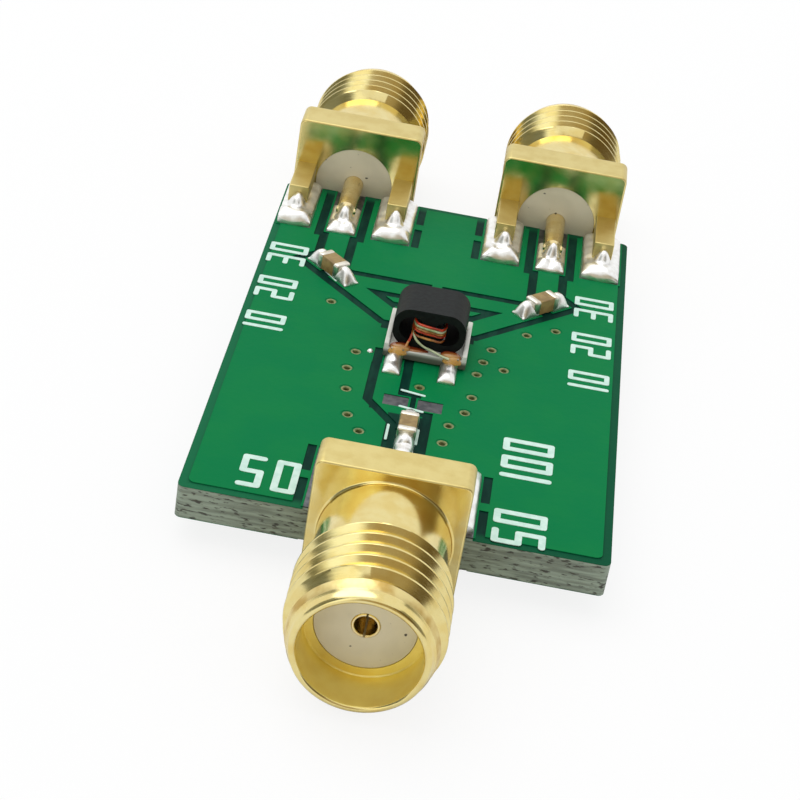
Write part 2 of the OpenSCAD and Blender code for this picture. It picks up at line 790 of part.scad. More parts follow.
// Hardened flux and varnish on the four tabs, where the wires end
module transformer_varnish() {
    color("darkgoldenrod") at_transformer() for (x = [-1, 1], y = [-1, 1])
        translate([x * terminal_x, y * (base_d - tab_l) / 2, floor_z]) intersection() {
            sphere(d = varnish_d, $fn = 24);
            translate([-terminal_w / 2, -tab_l / 2, terminal_t]) cube([terminal_w, tab_l, varnish_d]);
        }
}

module transformer_solder() {
    size = [terminal_pad_w, terminal_pad_l] - 2 * mask_margin * [1, 1];
    color("gainsboro") difference() {
        at_terminal_pads() for (x = [-1, 1], y = [-1, 1])
            translate([x * terminal_x, y * terminal_pad_y, 0])
                solder_mound(size, floor_z * solder_climb);
        transformer_base();
        transformer_terminals();
    }
}

laminate();
copper_top();
copper_underside();
solder_mask_top();
solder_mask_underside();
via_plating();
at_front() connector_body();  // front_connector_body
at_front() connector_insulator();  // front_connector_insulator
at_front() connector_contact();  // front_connector_contact
front_solder();  // front_connector_solder
at_rear(-1) connector_body();  // rear_left_connector_body
at_rear(-1) connector_insulator();  // rear_left_connector_insulator
at_rear(-1) connector_contact();  // rear_left_connector_contact
rear_solder(-1);  // rear_left_connector_solder
at_rear(1) connector_body();  // rear_right_connector_body
at_rear(1) connector_insulator();  // rear_right_connector_insulator
at_rear(1) connector_contact();  // rear_right_connector_contact
rear_solder(1);  // rear_right_connector_solder
at_front_cap() capacitor_ceramic();  // front_capacitor_ceramic
at_front_cap() capacitor_ends();  // front_capacitor_ends
at_front_cap() capacitor_solder();  // front_capacitor_solder
at_rear_cap(-1) capacitor_ceramic();  // rear_left_capacitor_ceramic
at_rear_cap(-1) capacitor_ends();  // rear_left_capacitor_ends
at_rear_cap(-1) capacitor_solder();  // rear_left_capacitor_solder
at_rear_cap(1) capacitor_ceramic();  // rear_right_capacitor_ceramic
at_rear_cap(1) capacitor_ends();  // rear_right_capacitor_ends
at_rear_cap(1) capacitor_solder();  // rear_right_capacitor_solder
transformer_base();
transformer_core();
transformer_wire_red();
transformer_wire_green();
transformer_wire_copper();
transformer_terminals();
transformer_varnish();
transformer_solder();
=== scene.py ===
# %% [markdown]
# # A small radio balun, dressed for its picture
# The object is a printed circuit board with three coaxial connectors on its edges, three chip
# capacitors and a wound transformer. The solids come from the part's own model. This script gives
# them their finish, and puts finer meshes where threads, solder and wire need them.

import math

import bmesh
import bpy
from mathutils import Matrix, Vector, noise


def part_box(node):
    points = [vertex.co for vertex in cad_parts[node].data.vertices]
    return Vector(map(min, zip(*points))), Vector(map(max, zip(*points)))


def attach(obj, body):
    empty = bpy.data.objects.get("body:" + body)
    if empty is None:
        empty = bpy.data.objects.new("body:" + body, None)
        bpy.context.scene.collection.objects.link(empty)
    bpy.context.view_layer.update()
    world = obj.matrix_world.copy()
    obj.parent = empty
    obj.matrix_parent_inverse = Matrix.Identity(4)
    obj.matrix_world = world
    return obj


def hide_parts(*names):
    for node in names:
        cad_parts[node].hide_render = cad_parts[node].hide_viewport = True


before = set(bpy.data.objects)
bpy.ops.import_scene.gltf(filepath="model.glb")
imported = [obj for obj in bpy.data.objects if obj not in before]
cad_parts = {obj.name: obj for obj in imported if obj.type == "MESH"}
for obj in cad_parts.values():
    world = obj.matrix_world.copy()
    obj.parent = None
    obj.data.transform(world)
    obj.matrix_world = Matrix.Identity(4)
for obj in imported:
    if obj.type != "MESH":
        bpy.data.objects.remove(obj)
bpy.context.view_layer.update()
print("nodes:", len(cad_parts))

# %% [markdown]
# ## Measures
# Blender works in metres, but this board is easier to think about in millimetres. So every new
# mesh is drawn in millimetres and shrunk once when it is finished. The places of the parts are
# read from the loaded solids, which keeps the new meshes on their pads if the model changes.

# %% Measures from the solids
MM = 0.001
CONNECTORS = ("front", "rear_left", "rear_right")


def box_mm(node):
    """The lowest and highest corner of a solid, in millimetres."""
    low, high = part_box(node)
    return low / MM, high / MM


def middle(node):
    low, high = box_mm(node)
    return (low + high) / 2


board_low, board_high = box_mm("laminate")
mask_top = box_mm("solder_mask_top")[1].z
pad_top = box_mm("copper_top")[1].z
pad_base = box_mm("copper_underside")[0].z
print("board", board_low, board_high, "pads at", pad_top)

# %% [markdown]
# ## Camera
# The picture was taken with a long lens from the front and above, with the camera held a little
# askew. A camera that aims at a point is made by turning its -Z axis along the line of sight and
# its Y axis upwards, and the last turn about that line gives the tilt of the picture.

# %% Camera
camera_at = Vector((1.06, -86.35, 52.89)) * MM
camera_aim = Vector((-0.84, -4.84, 2.675)) * MM
camera_roll = math.radians(9.88)
lens_mm = 96.7
nearest_seen = 0.005


def in_scene(name, data):
    """Makes an object of some data and links it to the scene."""
    made = bpy.data.objects.new(name, data)
    bpy.context.scene.collection.objects.link(made)
    return made


camera = in_scene("camera", bpy.data.cameras.new("camera"))
camera.data.lens = lens_mm
camera.data.clip_start = nearest_seen
sight = (camera_aim - camera_at).to_track_quat("-Z", "Y").to_matrix().to_4x4()
camera.matrix_world = Matrix.Translation(camera_at) @ sight @ Matrix.Rotation(camera_roll, 4, "Z")
bpy.context.scene.camera = camera
bpy.context.scene.view_settings.view_transform = "Standard"
print("camera", round((camera_aim - camera_at).length / MM, 1), "mm from its aim")

# %% [markdown]
# ## Shader arithmetic
# A procedural material is a small calculation that runs at every point of a surface. Written out
# as nodes it is long to read, so a socket is wrapped in a class whose operators add Math nodes.

# %% Sockets that calculate
class Socket:
    """An output of a shader node. Arithmetic on it adds Math nodes to the same tree."""

    def __init__(self, tree, output):
        self.tree = tree
        self.output = output

    def math(self, operation, *values):
        return self.tree.node("ShaderNodeMath", {"operation": operation}, dict(enumerate(values)))

    def __add__(self, other):
        return self.math("ADD", self, other)

    def __sub__(self, other):
        return self.math("SUBTRACT", self, other)

    def __rsub__(self, other):
        return self.math("SUBTRACT", other, self)

    def __mul__(self, other):
        return self.math("MULTIPLY", self, other)

    __radd__ = __add__
    __rmul__ = __mul__

    def size(self):
        return self.math("ABSOLUTE", self)

    def larger(self, other):
        return self.math("MAXIMUM", self, other)

    def ease(self, low, high):
        """Rises smoothly from 0 to 1 as the value goes from low to high."""
        return self.tree.node("ShaderNodeMapRange", {"interpolation_type": "SMOOTHSTEP"},
                              {"Value": self, "From Min": low, "From Max": high})


print("a socket knows", sum(name.startswith("__r") for name in vars(Socket)), "reflected forms")

# %% [markdown]
# Any other node comes from one method. Some settings change which sockets a node has, so the
# settings are made first, and then each socket gets its value or its link.

# %% A tree of nodes
class Tree:
    """A node tree, whose nodes are all made by node()."""

    def __init__(self, tree):
        self.tree = tree
        tree.nodes.clear()

    def node(self, kind, settings=None, values=None, output=0):
        """A new node's output as a Socket, or the node itself where it has no output."""
        made = self.tree.nodes.new(kind)
        for name, value in (settings or {}).items():
            if name == "stops":
                set_stops(made.color_ramp, value)
            else:
                setattr(made, name, value)
        for name, value in (values or {}).items():
            if isinstance(value, Socket):
                self.tree.links.new(value.output, made.inputs[name])
            else:
                made.inputs[name].default_value = value
        return Socket(self, made.outputs[output]) if made.outputs else made


def set_stops(ramp, stops):
    """Gives a colour ramp its stops, each a place from 0 to 1 and a colour."""
    while len(ramp.elements) < len(stops):
        ramp.elements.new(1)
    for element, (place, colour) in zip(ramp.elements, stops):
        element.position = place
        element.color = colour


print("trees ready")

# %% [markdown]
# ## Colours
# A picture's colours are stored on a curve that suits the eye, and a shader works with plain
# amounts of light. Writing each colour as the picture shows it, and turning it here, keeps the
# numbers easy to compare with the photo.

# %% Colours
def rgb(red, green, blue):
    """A colour as a picture shows it, 0 to 255, turned into the linear values of a shader."""
    def linear(value):
        share = value / 255
        return share / 12.92 if share <= 0.04045 else ((share + 0.055) / 1.055) ** 2.4
    return linear(red), linear(green), linear(blue), 1.0


print("a mid grey is", rgb(128, 128, 128)[0])

# %% [markdown]
# ## A base for the finishes
# Most finishes differ in a few things only: a pattern that drives the colour, how rough the
# surface is, and a little relief. The class below holds a material's tree with the Object
# coordinates in millimetres, so that a pattern keeps its place and size on the piece.

# %% Finish
class Finish(Tree):
    """A material with one main shader, and coordinates in millimetres."""

    def __init__(self, name, **constants):
        self.material = bpy.data.materials.new(name)
        self.material.use_nodes = True
        super().__init__(self.material.node_tree)
        metres = self.node("ShaderNodeTexCoord", output="Object")
        self.place = self.node("ShaderNodeVectorMath", {"operation": "SCALE"},
                               {"Vector": metres, "Scale": 1 / MM})
        labelled = {words.replace("_", " ").title().replace("Ior", "IOR"): value
                    for words, value in constants.items()}
        self.shader = self.node("ShaderNodeBsdfPrincipled", {}, labelled)
        self.ending = self.node("ShaderNodeOutputMaterial", {}, {"Surface": self.shader})

    def axis(self, letter):
        return self.node("ShaderNodeSeparateXYZ", {}, {"Vector": self.place}, output=letter)

    def stretched(self, x, y, z):
        return self.node("ShaderNodeVectorMath", {"operation": "MULTIPLY"},
                         {0: self.place, 1: (x, y, z)})

    def noise(self, per_mm, detail, at=None):
        return self.node("ShaderNodeTexNoise", {},
                         {"Vector": at or self.place, "Scale": per_mm, "Detail": detail})

    def mix(self, share, first, second):
        return self.node("ShaderNodeMix", {"data_type": "RGBA"},
                         {"Factor": share, 6: first, 7: second}, output=2)

    def set(self, name, value):
        """Feeds a varying value into one of the shader's sockets."""
        self.tree.links.new(value.output, self.shader.output.node.inputs[name])

    def colour(self, share, first, second):
        self.set("Base Color", self.mix(share, first, second))

    def relief(self, height, depth_mm):
        self.set("Normal", self.node("ShaderNodeBump", {}, {
            "Height": height, "Distance": depth_mm * MM, "Strength": 1.0}))

    def end_with(self, surface):
        """Ends the material with another surface than its main shader."""
        self.tree.links.new(surface.output, self.ending.inputs["Surface"])


print("finish ready")

# %% [markdown]
# ## Gold plate
# The connectors are brass with a thin gold plate. Turned faces are nearly mirrors, and what makes
# them read as metal is a low roughness with faint rings from the lathe, so the grain is dense
# along Y, the barrel's axis, and sparse across it. The milled sides of the flange are satin, the
# plain lead is brushed, and the contact has a tone of its own. The bore's gold is painted paler and
# brighter than the rest: painted light inside the bore, where little light gets. One function
# makes all five, because they differ in numbers only.

# %% Gold
def gold_finish(name, light, dark, roughness, spread, relief_mm, grain):
    """spread is added with the grain, which repeats so often per millimetre along X, Y and Z."""
    finish = Finish(name, metallic=1.0)
    patches = finish.noise(1.1, 3.0)
    pattern = finish.noise(1.0, 2.0, finish.stretched(*grain))
    finish.colour(patches.ease(0.35, 0.7), light, dark)
    finish.set("Roughness", roughness + spread * pattern)
    finish.relief(pattern, relief_mm)
    return finish.material


gold_polished = gold_finish("gold_polished", rgb(233, 217, 153), rgb(227, 204, 130),
                            roughness=0.08, spread=0.16, relief_mm=0.0015, grain=(1.5, 26, 1.5))
gold_satin = gold_finish("gold_satin", rgb(215, 199, 135), rgb(206, 187, 120),
                         roughness=0.34, spread=0.16, relief_mm=0.004, grain=(9, 9, 9))
gold_brushed = gold_finish("gold_brushed", rgb(232, 214, 150), rgb(196, 164, 92),
                           roughness=0.26, spread=0.2, relief_mm=0.004, grain=(7, 5, 7))
# Painted light: the bore's gold is the brightest of all, standing in for light inside the bore.
gold_bore = gold_finish("gold_bore", rgb(252, 236, 152), rgb(246, 226, 138),
                        roughness=0.42, spread=0.12, relief_mm=0.002, grain=(2, 12, 2))
gold_contact = gold_finish("gold_contact", rgb(242, 224, 172), rgb(230, 204, 138),
                           roughness=0.18, spread=0.14, relief_mm=0.001, grain=(4, 12, 4))
print("gold finishes made")

# %% [markdown]
# ## Solder and tin
# Solder freezes with a bright skin that is smooth in some places and frosted in others, so its
# roughness follows a noise. The bare pads and the capacitor ends carry a thin tin coat, which is
# duller and greyer.

# %% Solder and tin
def tin_finish(name, light, dark, roughness, spread, relief_mm):
    finish = Finish(name, metallic=1.0)
    frost = finish.noise(3.5, 3.0)
    finish.colour(frost.ease(0.3, 0.75), light, dark)
    finish.set("Roughness", roughness + spread * frost)
    finish.relief(finish.noise(1.6, 1.0), relief_mm)
    return finish.material


solder = tin_finish("solder", rgb(248, 248, 246), rgb(232, 230, 226),
                    roughness=0.24, spread=0.18, relief_mm=0.006)
tin = tin_finish("tin", rgb(236, 232, 220), rgb(212, 206, 192),
                 roughness=0.24, spread=0.22, relief_mm=0.01)
pad_tin = tin_finish("pad_tin", rgb(116, 117, 119), rgb(84, 87, 91),
                     roughness=0.3, spread=0.22, relief_mm=0.01)
print("tin finishes made")

# %% [markdown]
# ## Solder mask
# The green lacquer is see-through. Over copper it looks light green, and over bare laminate it
# looks dark. Here the lacquer of the model lies a little lower where it has no copper below it,
# so its colour can be worked out from its height alone, the same on both faces of the board. Round
# the front capacitor the dark gaps are painted a little wider than the model has them, as on the
# real board.

# %% Where the mask lies over copper
gap_x, gap_x_edge = -0.44, (0.76, 0.82)
gap_y, gap_y_edge = -7.7, (1.6, 1.68)
board_middle = (board_low.z + board_high.z) / 2
mask_out = mask_top - board_middle
foil = pad_top - board_high.z

mask = Finish("solder_mask", roughness=0.4, specular_ior_level=0.03)
height = (mask.axis("Z") - board_middle).size()
raised = height.ease(mask_out - 0.8 * foil, mask_out - 0.2 * foil)
beside_gap = (mask.axis("X") - gap_x).size().ease(*gap_x_edge)
beyond_gap = (mask.axis("Y") - gap_y).size().ease(*gap_y_edge)
over_copper = raised * beside_gap.larger(beyond_gap)
print("mask raised over copper by", round(foil, 3), "mm")

# %% [markdown]
# Both greens are clouded by a slow noise. Close to the board's edges light comes in through the
# cut laminate, and the dark parts turn greener there, on the left a little more than on the right.

# %% Colours of the mask
rim_share = 0.85
clouds = mask.noise(0.45, 3.0)
weave = mask.noise(1.0, 2.0, mask.stretched(2.5, 0.6, 1.0))
over_foil = mask.mix(clouds.ease(0.35, 0.7), rgb(4, 121, 68), rgb(12, 124, 67))
over_glass = mask.mix(weave.ease(0.3, 0.7), rgb(8, 46, 38), rgb(16, 62, 48))
side_strip = mask.axis("X").size().ease(board_high.x - 0.8, board_high.x - 0.25)
end_strip = mask.axis("Y").size().ease(board_high.y - 0.7, board_high.y - 0.2)
left_to_right = mask.axis("X").ease(board_low.x, board_high.x)
rim_green = mask.mix(left_to_right, rgb(26, 112, 72), rgb(14, 86, 56))
over_glass = mask.mix(side_strip.larger(end_strip) * rim_share, over_glass, rim_green)
mask.colour(over_copper, over_glass, over_foil)
mask.relief(mask.noise(2.6, 2.0), 0.008)
print("mask has", len(mask.tree.nodes), "nodes")

# %% [markdown]
# ## Laminate
# The board's cut edges show glass cloth in resin: thin layers, with the ends of the fibre bundles
# as short dark dashes. A noise that is stretched along the edge and squeezed in height gives the
# layers, and a second one, less stretched, gives the dashes.

# %% Laminate
laminate = Finish("laminate", roughness=0.62)
layers = laminate.noise(1.0, 3.0, laminate.stretched(0.5, 0.5, 7.0))
dashes = laminate.noise(1.0, 3.0, laminate.stretched(2.4, 2.4, 9.0))
resin = laminate.mix(layers.ease(0.32, 0.68), rgb(108, 117, 102), rgb(143, 156, 138))
laminate.colour(dashes.ease(0.55, 0.66), resin, rgb(58, 58, 48))
laminate.relief(dashes, 0.03)
print("laminate made")

# %% [markdown]
# ## The other finishes
# What is left is a row of small pieces, each with a plain material: the fired ceramic of the
# capacitors, the black ferrite and the darker walls of its holes, enamelled wire, ink, and the
# bare copper round a plated hole. Each still gets two tones and a little relief, at its own scale.

# %% Plain finishes
def plain_finish(name, light, dark, per_mm, roughness, relief_mm, **constants):
    finish = Finish(name, roughness=roughness, **constants)
    pattern = finish.noise(per_mm, 3.0)
    finish.colour(pattern.ease(0.35, 0.68), light, dark)
    finish.relief(pattern, relief_mm)
    return finish.material


ceramic = plain_finish("capacitor_ceramic", rgb(160, 134, 80), rgb(134, 108, 60),
                       per_mm=3.0, roughness=0.45, relief_mm=0.006)
ferrite = plain_finish("ferrite", rgb(15, 22, 21), rgb(9, 13, 13),
                       per_mm=5.0, roughness=0.55, relief_mm=0.01, specular_ior_level=0.2)
bore_shade = plain_finish("ferrite_bore", rgb(7, 8, 8), rgb(4, 4, 4),
                          per_mm=5.0, roughness=0.8, relief_mm=0.01, specular_ior_level=0.1)
ink = plain_finish("print_ink", rgb(214, 240, 228), rgb(196, 228, 214),
                   per_mm=2.5, roughness=0.55, relief_mm=0.01)
rim_copper = plain_finish("rim_copper", rgb(136, 140, 84), rgb(88, 108, 58),
                          per_mm=6.0, roughness=0.45, relief_mm=0.004)
enamel = {}
for colour, light, dark, per_mm, coat in (
        ("red", rgb(214, 70, 34), rgb(150, 34, 14), 2.2, 0.4),
        ("green", rgb(206, 212, 170), rgb(136, 150, 92), 1.4, 0.6),
        ("copper", rgb(204, 140, 66), rgb(130, 56, 18), 1.8, 0.6)):
    enamel[colour] = plain_finish("enamel_" + colour, light, dark, per_mm, roughness=0.22,
                                  relief_mm=0.002, coat_weight=coat)
print("materials so far:", len(bpy.data.materials))

# %% [markdown]
# ## Finishes with a second zone
# The fluoropolymer in the connectors is white with a few dark specks. The moulded base is white
# too, and grey low down, where little light reaches it. The varnish is dark where it is thick,
# close to the core, and light amber where it runs out over the terminals. In the last two a share
# that depends on the place mixes two pairs of tones.

# %% Finishes with a second zone
insulator = Finish("insulator", roughness=0.42)
tone, specks = insulator.noise(0.8, 2.0), insulator.noise(5.0, 0.0)
white = insulator.mix(tone.ease(0.35, 0.68), rgb(220, 211, 183), rgb(212, 203, 175))
insulator.colour(specks.ease(0.81, 0.84), white, rgb(70, 62, 50))
insulator.relief(tone, 0.002)


def zoned(finish, share, per_mm, relief_mm, tones):
    """The first pair of tones shows where share is 0, and the second where it is 1."""
    pattern = finish.noise(per_mm, 3.0)
    finish.colour(share, *(finish.mix(pattern, *pair) for pair in tones))
    finish.relief(pattern, relief_mm)


moulding = Finish("moulded_base", roughness=0.45)
above_pads = moulding.axis("Z").ease(pad_top + 0.3, pad_top + 0.6)
zoned(moulding, above_pads, 2.0, 0.008, ((rgb(98, 100, 86), rgb(76, 78, 66)),
                                         (rgb(228, 228, 218), rgb(206, 206, 194))))
varnish = Finish("varnish", roughness=0.16, coat_weight=0.5)
outwards = (varnish.axis("Y") - middle("transformer_core").y).size().ease(1.45, 1.82)
zoned(varnish, outwards, 2.2, 0.01, ((rgb(150, 62, 28), rgb(96, 32, 14)),
                                     (rgb(222, 176, 92), rgb(176, 118, 50))))
print("materials so far:", len(bpy.data.materials))

# %% [markdown]
# ## Dressing the board
# The board itself keeps the solids of the model: laminate, copper and lacquer. Their shapes are
# already right, so each one only gets its finish. The loaded objects already have a material slot,
# and putting another material in that slot leaves the mesh untouched.

# %% Dress the solids that stay
def dress(node, material):
    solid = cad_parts[node]
    if not solid.material_slots:
        solid.data.materials.append(material)
    for held in solid.material_slots:
        held.material = material


for node, material in {
    "laminate": laminate.material, "copper_top": pad_tin, "copper_underside": pad_tin,
    "solder_mask_top": mask.material, "solder_mask_underside": mask.material,
}.items():
    dress(node, material)
print("board dressed")

# %% [markdown]
# ## Meshes that ride on the board
# Every new piece ends the same way: its bmesh becomes an object at the origin, in metres, it rides
# on the one body of this model, and the solids it stands for are hidden. Smooth shading with sharp
# edges by angle keeps flat faces flat. On machined pieces a Weighted Normal modifier favours the
# large faces, and frozen solder, which has hardly an edge, goes without it.

# %% From bmesh to piece
MACHINED, FROZEN = 40, 75


def as_mesh(bm, name):
    """Writes a bmesh to a new mesh and frees it."""
    mesh = bpy.data.meshes.new(name)
    bm.to_mesh(mesh)
    bm.free()
    return mesh


def piece(name, bm, materials, slot, *nodes, sharp=MACHINED):
    """An edge stays sharp where its two faces turn by more than sharp, in degrees."""
    bmesh.ops.scale(bm, vec=(MM, MM, MM), verts=bm.verts)
    mesh = as_mesh(bm, name)
    for material in materials:
        mesh.materials.append(material)
    mesh.shade_smooth()
    mesh.set_sharp_from_angle(angle=math.radians(sharp))
    made = in_scene(name, mesh)
    if sharp == MACHINED:
        made.modifiers.new("flat faces", "WEIGHTED_NORMAL").keep_sharp = True
    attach(made, "root")
    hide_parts(*nodes)
    print(name, "has", len(mesh.polygons), "faces")


print("sharp above", MACHINED, "degrees, on solder", FROZEN)

# %% [markdown]
# ## Blocks and turned shapes
# Two shapes come back all through this board: a block with soft edges, and a body of revolution.
# A cube whose edges are bevelled makes the first.

# %% Blocks
def bevel(bm, edges, width, segments):
    bmesh.ops.bevel(bm, geom=edges, offset=width, segments=segments, profile=0.5,
                    affect="EDGES", material=-1)


def edges_along(bm, axis, least):
    """The edges that reach further than least along one axis, named by its letter."""
    return [edge for edge in bm.edges
            if abs(getattr(edge.verts[0].co, axis) - getattr(edge.verts[1].co, axis)) > least]


def block(bm, low, high, round_mm=0.0, segments=3):
    """A box between two corners, with all its edges rounded."""
    low, high = Vector(low), Vector(high)
    made = bmesh.ops.create_cube(bm, size=1.0)["verts"]
    bmesh.ops.scale(bm, vec=high - low, verts=made)
    bmesh.ops.translate(bm, vec=(low + high) / 2, verts=made)
    if round_mm:
        bevel(bm, list({edge for vert in made for edge in vert.link_edges}), round_mm, segments)


test = bmesh.new()
block(test, (0, 0, 0), (1, 2, 3), 0.1)
print("a soft block has", len(test.faces), "faces")
test.free()

# %% [markdown]
# The spin of an outline about the Y axis makes the second. Where the outline starts on the axis, or
# ends where it began, the spin leaves points on top of each other. closed() merges them, and then
# turns the faces outwards, because a spin can leave a shape inside out.

# %% Turned shapes
SAME_PLACE = 1e-5


def closed(bm):
    """Merges the points that share a place, and turns all faces outwards."""
    bmesh.ops.remove_doubles(bm, verts=bm.verts, dist=SAME_PLACE)
    bmesh.ops.recalc_face_normals(bm, faces=bm.faces)
    return bm


def lathe(outline, steps=96):
    """Spins a line of (radius, distance) points about the Y axis into a closed shape."""
    bm = bmesh.new()
    verts = [bm.verts.new((radius, along, 0)) for radius, along in outline]
    edges = [bm.edges.new(pair) for pair in zip(verts, verts[1:])]
    bmesh.ops.spin(bm, geom=verts + edges, cent=(0, 0, 0), axis=(0, 1, 0), angle=2 * math.pi,
                   steps=steps, use_merge=True)
    return closed(bm)


def rod(radius, from_y, to_y, steps=96):
    """A closed cylinder about the Y axis."""
    return lathe([(0, from_y), (radius, from_y), (radius, to_y), (0, to_y)], steps)


print("a rod of 96 sides has", len(rod(1, 0, 1).faces), "faces")

# %% [markdown]
# ## Moving, joining and cutting
# A mesh is drawn where it is easy, then moved by a matrix and joined to the rest of its piece. A
# Boolean modifier takes one closed mesh out of another, which is the quick way to drill a hole or
# saw a slit. cut() lends the modifier two short-lived objects, and reads the result back as a
# bmesh, so that the cut mesh can be worked on further.

# %% Move, join and cut
def moved(bm, matrix):
    bmesh.ops.transform(bm, matrix=matrix, verts=bm.verts)
    return bm


def join(bm, other):
    """Adds one bmesh to another and frees it."""
    mesh = as_mesh(other, "joining")
    bm.from_mesh(mesh)
    bpy.data.meshes.remove(mesh)


def cut(bm, cutter):
    """Takes one closed bmesh out of another, and returns a new bmesh."""
    solid, tool = (in_scene("cutting", as_mesh(source, "cutting")) for source in (bm, cutter))
    modifier = solid.modifiers.new("cut", "BOOLEAN")
    modifier.operation, modifier.solver, modifier.object = "DIFFERENCE", "EXACT", tool
    result = bmesh.new()
    result.from_object(solid, bpy.context.evaluated_depsgraph_get())
    for used in (solid, tool):
        mesh = used.data
        bpy.data.objects.remove(used)
        bpy.data.meshes.remove(mesh)
    return result


print("a drilled rod has", len(cut(rod(2, 0, 1), rod(1, -1, 2)).faces), "faces")

# %% [markdown]
# ## Where the connectors sit
# All three connectors are alike. They are drawn once, with the barrel along +Y and the board's
# edge at zero, and put in place by a matrix. The front one is turned half a turn.

# %% Connector places
def connector_place(name):
    axis = middle(name + "_connector_contact")
    front = name == "front"
    edge = board_low.y if front else board_high.y
    turn = Matrix.Rotation(math.pi if front else 0, 4, "Z")
    return Matrix.Translation((axis.x, edge, axis.z)) @ turn


places = {name: connector_place(name) for name in CONNECTORS}
axis_z = middle("front_connector_contact").z
print("barrels at a height of", round(axis_z, 3))

# %% [markdown]
# A radius is measured from the barrel's axis, and a distance along it from the board's edge. What
# can be read from the solids is read, and the rest is what such connectors measure.

# %% Connector measures
body_low, body_high = box_mm("rear_left_connector_body")
insulator_low, insulator_high = box_mm("rear_left_connector_insulator")
flange_w = body_high.z - body_low.z
insulator_r = (insulator_high.z - insulator_low.z) / 2
mouth_y = body_high.y - board_high.y
floor_y = insulator_high.y - board_high.y
flange_t, flange_r, flange_edge = 1.85, 0.35, 0.09
neck_r, thread_r, root_r, lead_r, rim_r, mouth_r = 2.725, 3.175, 2.75, 2.95, 2.75, 2.4
thread_from, thread_to, pitch = 4.85, 8.38, 25.4 / 36
print("mouth at", round(mouth_y, 2), "flange", round(flange_w, 2))

# %% [markdown]
# ## Flange
# The flange is a cube with rounded corners and a fine bevel round both large faces, with the bore
# drilled through it. Its large faces are turned and so polished, and its sides are satin.

# %% Flange
POLISHED, SATIN, BRUSHED, BORE = range(4)
body_golds = [gold_polished, gold_satin, gold_brushed, gold_bore]


def flange():
    half = flange_w / 2
    bm = bmesh.new()
    block(bm, (-half, 0, -half), (half, flange_t, half))
    bevel(bm, edges_along(bm, "y", flange_t / 2), flange_r, segments=8)
    face_edges = set(bm.edges) - set(edges_along(bm, "y", SAME_PLACE))
    bevel(bm, list(face_edges), flange_edge, segments=4)
    bm = cut(bm, rod(insulator_r, -1, flange_t + 1))
    for face in bm.faces:
        face.material_index = POLISHED if abs(face.normal.y) >= 0.9 else SATIN
    return bm


test = flange()
print("flange has", len(test.faces), "faces")
test.free()

# %% [markdown]
# ## Barrel
# The barrel is turned, so it is the spin of a closed outline: neck, thread root, plain lead, rim,
# mouth and bore. It starts a little way inside the flange, which hides its rear end. Every edge of
# the outline that a tool would break has a point or two for its small round.

# %% Barrel
def barrel():
    inner, start = insulator_r + 0.006, flange_t - 0.3
    neck = [(inner, start), (neck_r + 0.1, start), (neck_r + 0.1, flange_t + 0.01),
            (neck_r + 0.04, flange_t + 0.04), (neck_r, flange_t + 0.11), (neck_r, thread_from - 0.1)]
    thread_root = [(root_r, thread_from), (root_r, thread_to)]
    plain_lead = [(lead_r - 0.03, thread_to + 0.14), (lead_r, thread_to + 0.19),
                  (lead_r - 0.03, thread_to + 0.25)]
    front_rim = [(rim_r + 0.08, mouth_y - 0.46), (rim_r + 0.03, mouth_y - 0.41),
                 (rim_r - 0.03, mouth_y - 0.2), (rim_r - 0.08, mouth_y - 0.07),
                 (rim_r - 0.17, mouth_y)]
    mouth = [(mouth_r + 0.09, mouth_y), (mouth_r + 0.02, mouth_y - 0.05), (mouth_r, mouth_y - 0.12)]
    bore = [(mouth_r, floor_y + 0.05), (mouth_r - 0.05, floor_y), (inner + 0.01, floor_y),
            (inner, floor_y - 0.04), (inner, start)]
    bm = lathe(neck + thread_root + plain_lead + front_rim + mouth + bore)
    for face in bm.faces:
        at = face.calc_center_median()
        if at.y > floor_y - 0.1 and math.hypot(at.x, at.z) < mouth_r + 0.01:
            face.material_index = BORE
        elif thread_to + 0.18 < at.y < mouth_y - 0.44:
            face.material_index = BRUSHED
    return bm


test = barrel()
print("open edges left:", sum(not edge.is_manifold for edge in test.edges))
test.free()

# %% [markdown]
# ## Thread
# A screw thread is a ridge that climbs by one pitch on each turn. A small tooth outline is spun
# with a step along the axis, which makes the helix. The ridge is sunk a little into the barrel, and
# it is trimmed to a blank with bevelled ends, as a die leaves it.

# %% Thread
turn_steps = 72
first_crest = 5.2
rear_slope, front_slope = 1.3, 1.4
tooth = [(root_r - 0.08, -0.35), (thread_r - 0.014, -0.05), (thread_r, 0.0)]
tooth += [(radius, -along) for radius, along in tooth[1::-1]]


def blank_radius(along):
    """How far from the axis the bevelled blank reaches at a distance along it."""
    rear = root_r + rear_slope * (along - thread_from)
    front = root_r + front_slope * (thread_to - along)
    return max(root_r - 0.1, min(thread_r, rear, front))


def thread():
    start = first_crest - 0.75 * pitch - pitch
    turns = (thread_to + 0.3 - start) / pitch
    bm = bmesh.new()
    verts = [bm.verts.new((radius, start + along, 0)) for radius, along in tooth]
    outline = bm.faces.new(verts)
    spun = bmesh.ops.spin(bm, geom=verts + list(outline.edges), cent=(0, 0, 0), axis=(0, 1, 0),
                          angle=2 * math.pi * turns, steps=round(turns * turn_steps),
                          dvec=(0, pitch / turn_steps, 0))
    last_edges = [part for part in spun["geom_last"] if isinstance(part, bmesh.types.BMEdge)]
    bmesh.ops.contextual_create(bm, geom=last_edges)
    for vert in bm.verts:
        share = min(1.0, blank_radius(vert.co.y) / math.hypot(vert.co.x, vert.co.z))
        vert.co.x *= share
        vert.co.z *= share
    bmesh.ops.recalc_face_normals(bm, faces=bm.faces)
    return bm


print("the thread has", round((thread_to - thread_from) / pitch, 1), "full turns")

